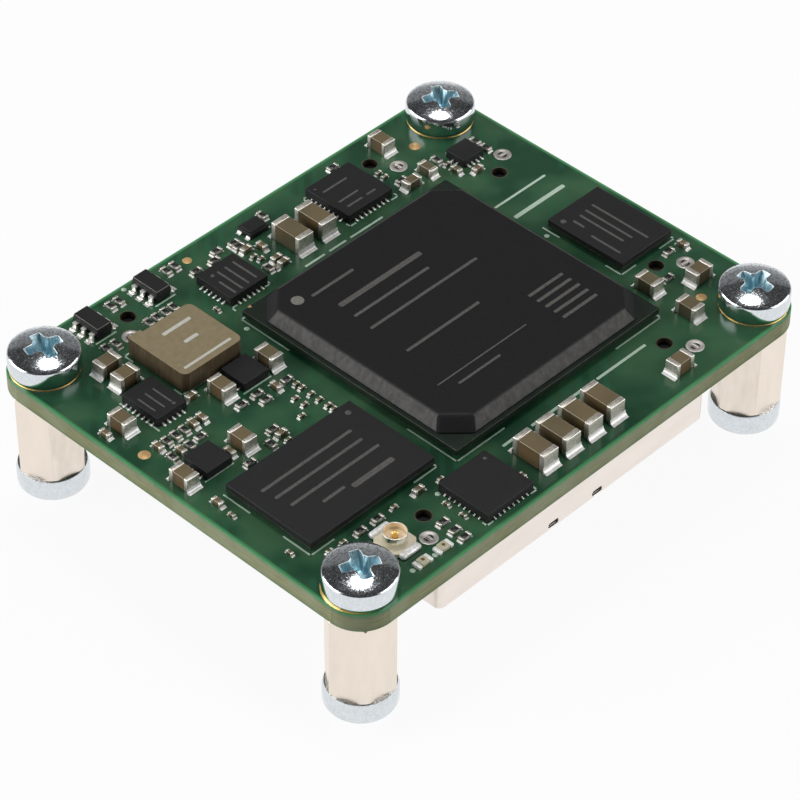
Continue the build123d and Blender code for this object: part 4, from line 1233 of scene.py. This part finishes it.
def make_processor():
    """Package board, moulded cap with cut corners and sloped sides, and the balls below."""
    base = soften(node_block("processor_base"), 0.03, 1)
    dress(base, "processor_board", PACKAGE_MASK, "package_laminate", "processor_base")
    low, size = node_box("processor_cap")
    middle = low + size / 2
    top = top_of("processor_cap")
    cap = round_corners(node_block("processor_cap"), CAP_CUT, 1)
    narrow_end(cap, top, (size.x - CAP_DRAFT) / size.x, (size.y - CAP_DRAFT) / size.y)
    dress(soften(cap, CAP_EDGE, 4, 20), "processor_moulding", CAP_MOULD, "moulded_black", "processor_cap")
    dress(solder_balls("processor_balls"), "processor_ball_ring", SOLDER, "solder", "processor_balls")
    spot = (middle.x + CORNER_PAD_PLACE[0], middle.y + CORNER_PAD_PLACE[1], top_of("processor_base"))
    pad = rod(CORNER_PAD, CORNER_PAD_THICKNESS, spot, 3, CORNER_PAD_TURN)
    dress(soften(pad, 0.006, 1), "processor_corner_pad", COPPER_PAD, "gold_plate")
    mark_processor(middle, top)


def mark_processor(middle, top):
    """Plain bars on the cap, and a paler dot in its first-pin dimple."""
    bars = [laser_bar(x, y, length, width, top) for x, y, length, width in PROCESSOR_BARS]
    dress(join(bars), "processor_marks", LASER, "moulded_black")
    spot = (middle.x + CAP_DOT_PLACE[0], middle.y + CAP_DOT_PLACE[1], top - MARK_THICKNESS / 2)
    disc = rod(CAP_DOT, MARK_THICKNESS, spot, 28)
    dress(soften(disc, 0.005, 1), "processor_round_mark", LASER_DOT, "moulded_black")


def laser_bar(x, y, length, width, top, along_y=False):
    """Shallow bar with rounded ends that starts at x, y and runs along X, or towards -Y."""
    size = (width, length, MARK_THICKNESS) if along_y else (length, width, MARK_THICKNESS)
    middle = (x, y - length / 2, top) if along_y else (x + length / 2, y, top)
    return round_corners(block(size, middle), width * 0.3, 2)


def mark_packages():
    """Plain bars and first-pin dots on the smaller packages."""
    marks = []
    for node, x, y, length, width, along_y in PACKAGE_BARS:
        marks.append(laser_bar(x, y, length, width, top_of(node), along_y))
    marks += [dot(across, x, y, top_of(node), 20) for node, x, y, across in PACKAGE_DOTS]
    dress(join(marks), "package_marks", LASER, "moulded_black")


def solder_balls(node):
    """Squashed balls that sink a little into the package and the board."""
    spots = solids(node)
    size = spots[0][1]
    wide, high = BALL_SHARES
    master = ball((size.x * wide, size.x * wide, size.z * high), (0, 0, 0), 10, 6)
    return smooth(repeat(master, [(centre.x, centre.y, centre.z, 0) for centre, size in spots]), 60)


def make_ball_packages():
    """Memory and flash: moulding on a thin substrate over solder balls."""
    for name in ("memory", "flash"):
        node = name + "_package"
        low, size = node_box(node)
        middle = low + size / 2
        substrate = block((size.x, size.y, SUBSTRATE), (middle.x, middle.y, low.z))
        mould_size = (size.x - 2 * SUBSTRATE_REACH, size.y - 2 * SUBSTRATE_REACH, size.z - SUBSTRATE)
        mould = block(mould_size, (middle.x, middle.y, low.z + SUBSTRATE))
        dress(soften(mould, 0.05, 2), name + "_moulding", MOULD, "moulded_black", node)
        dress(soften(substrate, 0.02, 1), name + "_substrate", PACKAGE_MASK, "package_laminate")
        dress(solder_balls(name + "_balls"), name + "_ball_ring", SOLDER, "solder", name + "_balls")


def contact_turn(centre, bodies):
    """Turn about Z that points from the nearest body out to a contact: 0, 90, 180 or 270."""
    middle, size = min(bodies, key=lambda body: (body[0] - centre).length)
    off = centre - middle
    if abs(off.x) / size.x > abs(off.y) / size.y:
        return 0 if off.x > 0 else 180
    return 90 if off.y > 0 else 270


def along_turn(size, turn):
    """Length along a turn and width across it."""
    return (size.x, size.y) if turn in (0, 180) else (size.y, size.x)


def make_leadless():
    """Flat moulded packages with a metal pad and a solder fillet at each contact."""
    pad_length, pad_share, pad_height = CONTACT_PAD
    for body_node, solder_node in LEADLESS:
        bodies = solids(body_node)
        blocks = [soften(solid_block(centre, size), 0.04, 2) for centre, size in bodies]
        dress(join(blocks), body_node + "_moulding", MOULD, "moulded_black", body_node)
        lumps = []
        pads = []
        for centre, size in solids(solder_node):
            turn = contact_turn(centre, bodies)
            length, width = along_turn(size, turn)
            step = Vector((math.cos(math.radians(turn)), math.sin(math.radians(turn)), 0))
            start = centre - step * (length / 2)
            reach = SHORT_FILLET if body_node == "logic_chip_body" else length + FILLET_OVERRUN
            lump_size = (reach, min(width * 0.75, reach * 0.8), FILLET_HEIGHT)
            lump = block(lump_size, (reach / 2 - FILLET_TUCK, 0, 0))
            lumps.append(put(soften(lump, 0.035, 1), start.x, start.y, BOARD_TOP, turn))
            spot = start - step * CONTACT_PAD_STEP
            pad_size = (pad_length, width * pad_share, pad_height)
            pad = block(pad_size, (spot.x, spot.y, BOARD_TOP + 0.01), turn)
            pads.append(soften(pad, 0.02, 1))
        dress(join(lumps), solder_node + "_fillets", FOOT_SOLDER, "solder", solder_node)
        dress(join(pads), body_node + "_pads", TIN, "tin_plate")


def make_inductor():
    """Pressed block with a corner ear, its edges well rounded, and three plain bars."""
    low, size = node_box("power_inductor_body")
    width = size.y - INDUCTOR_EAR_RISE
    body = block((size.x, width, size.z), (low.x + size.x / 2, low.y + width / 2, low.z))
    round_corners(body, INDUCTOR_CORNER, 6)
    ear_length, ear_width = INDUCTOR_EAR
    ear_foot = (low.x + ear_length / 2, low.y + size.y - ear_width / 2, low.z)
    ear = round_corners(block((ear_length, ear_width, size.z), ear_foot), INDUCTOR_EAR_CORNER, 3)
    combine(body, ear, "UNION")
    soften(body, INDUCTOR_EDGE, 4, 30)
    dress(body, "pressed_inductor", PRESSED_POWDER, "pressed_composite", "power_inductor_body")
    top = low.z + size.z
    bars = [laser_bar(x, y, length, bar_width, top) for x, y, length, bar_width in INDUCTOR_BARS]
    dress(join(bars), "inductor_bar_marks", PALE_BAR, "pressed_composite")


def make_oscillator():
    """Moulded package with a raised lid and four solder feet."""
    case = soften(node_block("oscillator_package"), 0.04, 2)
    dress(case, "oscillator_case", MOULD, "moulded_black", "oscillator_package")
    lid = round_corners(node_block("oscillator_lid"), 0.2, 4)
    dress(soften(lid, 0.05, 2), "oscillator_cover", MOULD, "moulded_black", "oscillator_lid")
    low, size = node_box("oscillator_package")
    middle = low.x + size.x / 2
    feet = []
    for centre, extent in solids("oscillator_solder"):
        side = 1 if centre.x > middle else -1
        wedge = hollow_slope(extent.x * 0.8, extent.y * 0.7, extent.z, 3)
        feet.append(put(wedge, centre.x - side * extent.x / 2, centre.y, BOARD_TOP, 0 if side > 0 else 180))
    dress(join(feet), "oscillator_solder_fillets", FOOT_SOLDER, "solder", "oscillator_solder")


def make_six_pin():
    """Small mouldings that taper from their parting line, with three leads on each side."""
    bodies = solids("six_pin_chip_bodies")
    low, size = node_box("six_pin_chip_bodies")
    mouldings = []
    for centre, extent in bodies:
        body = split_level(solid_block(centre, extent), low.z + PARTING_HEIGHT)
        narrow_end(body, low.z + extent.z, *MOULD_TAPER)
        narrow_end(body, low.z, *MOULD_TAPER)
        mouldings.append(soften(body, 0.05, 2, 12))
    dress(join(mouldings), "six_pin_mouldings", EDGE_HIGHLIGHT_MOULD, "moulded_black", "six_pin_chip_bodies")
    leads = []
    for centre, extent in solids("six_pin_chip_leads"):
        home = min(bodies, key=lambda body: abs(body[0].x - centre.x))[0]
        turn = 0 if centre.x > home.x else 180
        leads.append(put(lead_model(extent), centre.x, centre.y, BOARD_TOP, turn))
    dress(join(leads), "six_pin_leads", LEAD_TIN, "solder", "six_pin_chip_leads")


def lead_model(extent):
    """Gull-wing lead swept down from the body and along the board, with solder round its foot."""
    length = extent.x
    drop = length * LEAD_DROP
    shoulder = drop + LEAD_SHOULDER
    run = length - drop
    lead = block((shoulder, extent.y, LEAD), ((shoulder - length) / 2, 0, extent.z - LEAD))
    leg = block((LEAD, extent.y, extent.z - 0.05), (drop - length / 2, 0, 0))
    foot = block((run, extent.y, LEAD), (drop - length / 2 + run / 2 - 0.05, 0, 0))
    combine(lead, leg, "UNION")
    combine(lead, foot, "UNION")
    soften(lead, 0.06, 3, 40)
    toe_length, toe_width, toe_height = LEAD_TOE
    toe = put(hollow_slope(toe_length, extent.y * toe_width, toe_height), length / 2 - 0.12, 0, 0)
    long, wide, high = LEAD_PUDDLE
    puddle = ball((length * long, extent.y * wide, high), (length * 0.12, 0, 0.02), 16, 8)
    combine(puddle, block((3, 3, 1), (0, 0, -1)))
    return join([lead, toe, smooth(puddle, 60)])


def make_socket():
    """Moulded base with cut corners, plated ring with a rolled lip, feet and centre pin."""
    low, size = node_box("antenna_socket_base")
    middle = low + size / 2
    base = soften(round_corners(node_block("antenna_socket_base"), SOCKET_CUT, 1), 0.05, 2)
    dress(base, "socket_moulding", CREAM, "moulded_cream", "antenna_socket_base")
    low, size = node_box("antenna_socket_shell")
    seat = low.z + SOCKET_NECK_HEIGHT
    neck = rod(SOCKET_NECK, SOCKET_NECK_HEIGHT + 0.02, (middle.x, middle.y, low.z), 48)
    ring = rod(SOCKET_RING, size.z - SOCKET_NECK_HEIGHT, (middle.x, middle.y, seat), 48)
    combine(ring, rod(SOCKET_BORE, 1, (middle.x, middle.y, seat + 0.05), 48))
    soften(ring, 0.045, 3, 40)
    for finish in (PALE_GOLD, GILT):
        ring.data.materials.append(finish)
    for face in ring.data.polygons:
        spot = face.center / MM
        reach = math.hypot(spot.x - middle.x, spot.y - middle.y)
        face.material_index = int(reach < SOCKET_RING / 2 - 0.08 and face.normal.z > -0.2)
    neck.data.materials.append(SILVER)
    ring = join([ring, smooth(build_up(neck, [(0.3, 0.0)]))])
    dress(ring, "socket_ring", None, "gold_plate", "antenna_socket_shell")
    low, size = node_box("antenna_socket_pin")
    pin = rod(SOCKET_PIN, size.z + 0.06, (middle.x, middle.y, low.z), 24)
    build_up(pin, [(0.06, 0.06), (0.08, 0.04)])
    collar = soften(rod(SOCKET_COLLAR, 0.1, (middle.x, middle.y, low.z), 24), 0.03, 2)
    dress(join([smooth(pin), collar]), "socket_pin", GOLD, "gold_plate", "antenna_socket_pin")
    feet = []
    for centre, extent in solids("antenna_socket_feet"):
        side = 1 if centre.y > middle.y else -1
        spot = (centre.x, centre.y + side * extent.y * 0.15, BOARD_TOP)
        feet.append(soften(block((extent.x * 1.15, extent.y * 1.5, 0.5), spot), 0.22, 6))
    dress(join(feet), "socket_feet", ROUGH_SOLDER, "solder", "antenna_socket_feet")


def make_lamps():
    """Clear lenses with a small core showing in each, between soldered ends."""
    lenses = []
    cores = []
    for centre, size in solids("indicator_lamp_lenses"):
        lenses.append(soften(solid_block(centre, size), LENS_EDGE, 3))
        top = centre.z + size.z / 2
        cores.append(dot(LAMP_CORE_WIDTH, centre.x + 0.02, centre.y, top - MARK_THICKNESS / 2, 16))
    dress(join(lenses), "lamp_lenses", LENS, "lamp_resin", "indicator_lamp_lenses")
    dress(join(cores), "lamp_cores", LAMP_CORE, "lamp_resin")
    ends = [soften(solid_block(centre, size), 0.06, 3) for centre, size in solids("indicator_lamp_ends")]
    dress(join(ends), "lamp_ends", FOOT_SOLDER, "solder", "indicator_lamp_ends")


# Chip capacitors and resistors

def end_model(length, width, height, reach):
    """Metal end with rounded edges, running out into a hollow solder foot."""
    cap = soften(block((length, width, height)), min(END_EDGE, height * EDGE_SHARE), 2)
    cap.data.materials.append(TIN)
    slope = hollow_slope(reach, width * FOOT_SHARES[0], height * FOOT_SHARES[1], 6)
    slope = put(slope, length / 2 - FOOT_OVERLAP, 0, 0)
    slope.data.materials.append(FOOT_SOLDER)
    return join([cap, slope])


def soldered_end(kind, centre, size, bodies):
    """Metal end of one chip part at its place, with its solder foot."""
    turn = contact_turn(centre, bodies)
    length, width = along_turn(size, turn)
    metal = END_LENGTHS[kind]
    if kind == "small_capacitor" and size.z > TALL_SMALL_CAPACITOR:
        metal = TALL_SMALL_END
    reach = max(length - metal, LOW_REACH if size.z < LOW_PART else HIGH_REACH)
    inward = (length - metal) / 2
    x = centre.x - math.cos(math.radians(turn)) * inward
    y = centre.y - math.sin(math.radians(turn)) * inward
    underneath = kind == "underside_capacitor"
    foot = BOARD_UNDERSIDE if underneath else centre.z - size.z / 2
    return put(end_model(metal, width, size.z, reach), x, y, foot, turn, underneath)


def make_chip_parts():
    """Fired bodies and soldered metal ends of every kind of capacitor and resistor."""
    for kind in END_LENGTHS:
        finish, slot = CERAMIC, "ceramic_olive"
        if kind == "resistor":
            finish, slot = RESISTOR_COAT, "resistor_black"
        bodies = solids(kind + "_bodies")
        blocks = []
        for centre, size in bodies:
            segments = 2 if size.z > LOW_PART else 1
            edge = min(CHIP_EDGE, size.z * EDGE_SHARE)
            blocks.append(soften(solid_block(centre, size), edge, segments))
        dress(join(blocks), kind + "_ceramic", finish, slot, kind + "_bodies")
        ends = [soldered_end(kind, centre, size, bodies) for centre, size in solids(kind + "_ends")]
        dress(join(ends), kind + "_metal", None, "tin_plate", kind + "_ends")


# Connectors

def make_connectors():
    """Shields, housings, contact blades and latch lugs of the three connectors."""
    for name in CONNECTORS:
        make_shield(name)
        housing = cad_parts[name + "_connector_housing"]
        housing.data.materials.clear()
        housing.data.materials.append(HOUSING)
        make_contacts(name)
        make_lugs(name)


def put_under_board(model, name):
    """Moves a model that lies along X at the origin to the place and turn of a connector."""
    centre, size, along_x = connector_box(name)
    return put(model, centre.x, centre.y, centre.z - size.z / 2, 0 if along_x else 90)


def make_shield(name):
    """Folded sheet round the housing with two latch slots a side and soldered tabs."""
    centre, size, along_x = connector_box(name)
    length, width = max(size.x, size.y), min(size.x, size.y)
    height = BOARD_UNDERSIDE - centre.z + size.z / 2
    shell = round_corners(block((length, width, height)), SHIELD_CORNER, 6)
    inside = (length - 2 * SHIELD_SHEET, width - 2 * SHIELD_SHEET, height + 2)
    combine(shell, round_corners(block(inside, (0, 0, -1)), SHIELD_CORNER - SHIELD_SHEET, 5))
    slot_length, slot_height = LATCH_SLOT
    slots = []
    for side in (-1, 1):
        foot = (side * LATCH_OFFSET, 0, LATCH_SLOT_LIFT)
        slots.append(round_slot(slot_length, width + 2, slot_height, foot))
    combine(shell, join(slots))
    soften(shell, 0.03, 2, 40)
    pieces = [shell]
    for side in (-1, 1):
        foot = (side * (length / 2 - TAB_INSET), -TAB_OFFSET, height)
        pieces.append(soften(block((SHIELD_SHEET, SHIELD_TAB, BOARD_THICKNESS), foot), 0.04, 1))
    sheet = put_under_board(join(pieces), name)
    dress(sheet, name + "_shield_sheet", SHIELD_NICKEL, "shield_nickel", name + "_connector_shield")


def make_lugs(name):
    """Lugs of the moulded housing that fill the latch slots of its shield from inside."""
    centre, size, along_x = connector_box(name)
    wall = min(size.x, size.y) / 2 - LATCH_LUG_INSET
    lugs = []
    for side in (-1, 1):
        for face in (-1, 1):
            lug = block(LATCH_LUG, (side * LATCH_OFFSET, face * wall, LATCH_LUG_LIFT))
            lugs.append(soften(lug, 0.04, 1))
    dress(put_under_board(join(lugs), name), name + "_latch_lugs", HOUSING, "housing_black")


def round_slot(length, depth, height, foot):
    """Cutter for a slot through both walls, with round ends."""
    slot = block((length, depth, height), foot)
    select_edges(slot, lambda a, b: abs(a.x - b.x) < 1e-4 and abs(a.z - b.z) < 1e-4)
    bpy.ops.mesh.bevel(offset=height * 0.45 * MM, segments=5, affect="EDGES")
    leave_edit()
    return slot


def make_contacts(name):
    """Rows of gold blades lying on the ribs of a housing."""
    centre, size, along_x = connector_box(name)
    positions = round((max(size.x, size.y) - 2 * CONTACT_END) / CONTACT_PITCH)
    spots = []
    for row in CONTACT_ROWS:
        for i in range(positions):
            spots.append(((i - (positions - 1) / 2) * CONTACT_PITCH, row, CONTACT_LIFT, 0))
    master = soften(block(CONTACT_BLADE), 0.03, 1)
    blades = put_under_board(repeat(master, spots), name)
    dress(blades, name + "_contact_blades", GOLD, "gold_plate")


# Light, floor and camera

def seen_directly(tree):
    """1 for rays of the camera and of mirrors and glass, 0 for the light that falls on the object."""
    path = tree.nodes.new("ShaderNodeLightPath")
    most = path.outputs["Is Camera Ray"]
    for name in ("Is Glossy Ray", "Is Transmission Ray"):
        larger = tree.nodes.new("ShaderNodeMath")
        larger.operation = "MAXIMUM"
        tree.links.new(most, larger.inputs[0])
        tree.links.new(path.outputs[name], larger.inputs[1])
        most = larger.outputs[0]
    return path, most


def choose_shader(tree, factor, first, second):
    """The first shader where the factor is 0, the second where it is 1."""
    mix = tree.nodes.new("ShaderNodeMixShader")
    for source, socket in zip((factor, first, second), mix.inputs):
        tree.links.new(source, socket)
    return mix.outputs[0]


def diffuse(tree, level):
    """Grey diffuse shader."""
    shader = tree.nodes.new("ShaderNodeBsdfDiffuse")
    shader.inputs["Color"].default_value = (level, level, level, 1)
    return shader.outputs[0]


def make_world():
    """White studio that mirrors show as a white floor, a grey backdrop and a dim ceiling."""
    world = bpy.data.worlds.new("studio")
    bpy.context.scene.world = world
    world.use_nodes = True
    tree = world.node_tree
    tree.nodes.clear()

    def node(kind, **sockets):
        made = tree.nodes.new(kind)
        for socket, value in sockets.items():
            made.inputs[socket.replace("_", " ")].default_value = value
        return made

    def ramp(source, *stops):
        band = node("ShaderNodeValToRGB")
        for position, level in stops[2:]:
            band.color_ramp.elements.new(position)
        for element, (position, level) in zip(band.color_ramp.elements, stops):
            element.position = position
            element.color = (level, level, level, 1)
        tree.links.new(source, band.inputs["Fac"])
        return band.outputs["Color"]

    def blend(factor, a, b):
        mix = node("ShaderNodeMix")
        mix.data_type = "RGBA"
        tree.links.new(factor, mix.inputs["Factor"])
        for socket, value in ((mix.inputs[6], a), (mix.inputs[7], b)):
            if isinstance(value, tuple):
                socket.default_value = value
            else:
                tree.links.new(value, socket)
        return mix.outputs[2]

    direction = node("ShaderNodeTexCoord").outputs["Generated"]
    parts = node("ShaderNodeSeparateXYZ")
    tree.links.new(direction, parts.inputs[0])
    height = parts.outputs["Z"]
    behind = node("ShaderNodeVectorMath")
    behind.operation = "DOT_PRODUCT"
    behind.inputs[1].default_value = BACKDROP_SIDE
    tree.links.new(direction, behind.inputs[0])
    backdrop = ramp(height, (0.0, 1.0), (0.06, 0.5), (0.3, 0.27), (0.64, 0.2), (0.69, 0.04))
    room = ramp(height, (0.0, 1.0), (0.05, 0.35), (0.2, 0.06))
    facing = ramp(behind.outputs["Value"], (0.69, 0.0), (0.735, 1.0))
    mirrored = blend(facing, room, backdrop)
    path, direct = seen_directly(tree)
    seen = blend(path.outputs["Is Camera Ray"], mirrored, (1, 1, 1, 1))
    shown = node("ShaderNodeBackground")
    tree.links.new(seen, shown.inputs["Color"])
    # soft fill that comes from the backdrop's side of the room more than from the other
    fill = node("ShaderNodeBackground", Strength=FILL_STRENGTH)
    shade = ramp(behind.outputs["Value"], (0.0, 0.15), (0.75, 1.0))
    tree.links.new(shade, fill.inputs["Color"])
    chosen = choose_shader(tree, direct, fill.outputs[0], shown.outputs[0])
    tree.links.new(chosen, node("ShaderNodeOutputWorld").inputs["Surface"])


def make_floor():
    """White paper floor that keeps the object's shadow."""
    bpy.ops.object.select_all(action="DESELECT")
    bpy.ops.mesh.primitive_plane_add(size=FLOOR_SIZE, location=(0, 0, -FLOOR_DROP))
    floor = settle()
    floor.name = "studio_floor"
    material = bpy.data.materials.new("floor_paper")
    material.use_nodes = True
    tree = material.node_tree
    tree.nodes.clear()
    white = tree.nodes.new("ShaderNodeEmission")
    paper = tree.nodes.new("ShaderNodeMixShader")
    paper.inputs[0].default_value = PAPER_GLOW
    tree.links.new(diffuse(tree, PAPER_GREY), paper.inputs[1])
    tree.links.new(white.outputs[0], paper.inputs[2])
    path, direct = seen_directly(tree)
    chosen = choose_shader(tree, direct, diffuse(tree, BOUNCE_GREY), paper.outputs[0])
    tree.links.new(chosen, tree.nodes.new("ShaderNodeOutputMaterial").inputs["Surface"])
    floor.data.materials.append(material)


def add_softbox(name, spot, size, power, shape):
    """Soft light at a spot in metres, turned to the object."""
    lamp = bpy.data.lights.new(name, "AREA")
    lamp.shape = shape
    lamp.size, lamp.size_y = size
    lamp.energy = power
    holder = bpy.data.objects.new(name, lamp)
    holder.location = spot
    holder.rotation_euler = (Vector(spot) - Vector(SOFTBOX_TARGET)).to_track_quat("Z", "Y").to_euler()
    bpy.context.collection.objects.link(holder)


def make_camera():
    """Camera that stands where the photo was taken from."""
    azimuth = math.radians(CAMERA_AZIMUTH)
    elevation = math.radians(CAMERA_ELEVATION)
    roll = math.radians(CAMERA_ROLL)
    reach = math.cos(elevation)
    back = Vector((math.sin(azimuth) * reach, -math.cos(azimuth) * reach, math.sin(elevation)))
    level = Vector((0, 0, 1)).cross(back).normalized()
    upward = back.cross(level)
    right = math.cos(roll) * level + math.sin(roll) * upward
    up = math.cos(roll) * upward - math.sin(roll) * level
    camera = bpy.data.cameras.new("photo_camera")
    camera.sensor_width = 36.0
    camera.lens = CAMERA_FOCAL_PIXELS / PICTURE_PIXELS * camera.sensor_width
    camera.clip_start = 0.01
    camera.clip_end = 20.0
    holder = bpy.data.objects.new("photo_camera", camera)
    spot = Vector(CAMERA_TARGET) + CAMERA_DISTANCE * back
    holder.matrix_world = Matrix.Translation(spot * MM) @ Matrix((right, up, back)).transposed().to_4x4()
    bpy.context.collection.objects.link(holder)
    bpy.context.scene.camera = holder


def make_studio():
    """Room, floor, lights and camera."""
    make_world()
    make_floor()
    for name, (spot, size, power, shape) in SOFTBOXES.items():
        add_softbox(name, spot, size, power, shape)
    bpy.context.scene.view_settings.view_transform = "Standard"
    make_camera()


make_board()
make_screw_pads()
make_fiducials()
make_legend()
make_hole_rims()
make_tab_joints()
make_screws()
make_standoffs()
make_processor()
make_ball_packages()
make_leadless()
mark_packages()
make_inductor()
make_oscillator()
make_six_pin()
make_socket()
make_lamps()
make_chip_parts()
make_connectors()
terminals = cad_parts["power_inductor_terminals"]
terminals.data.materials.clear()
terminals.data.materials.append(TIN)
make_studio()
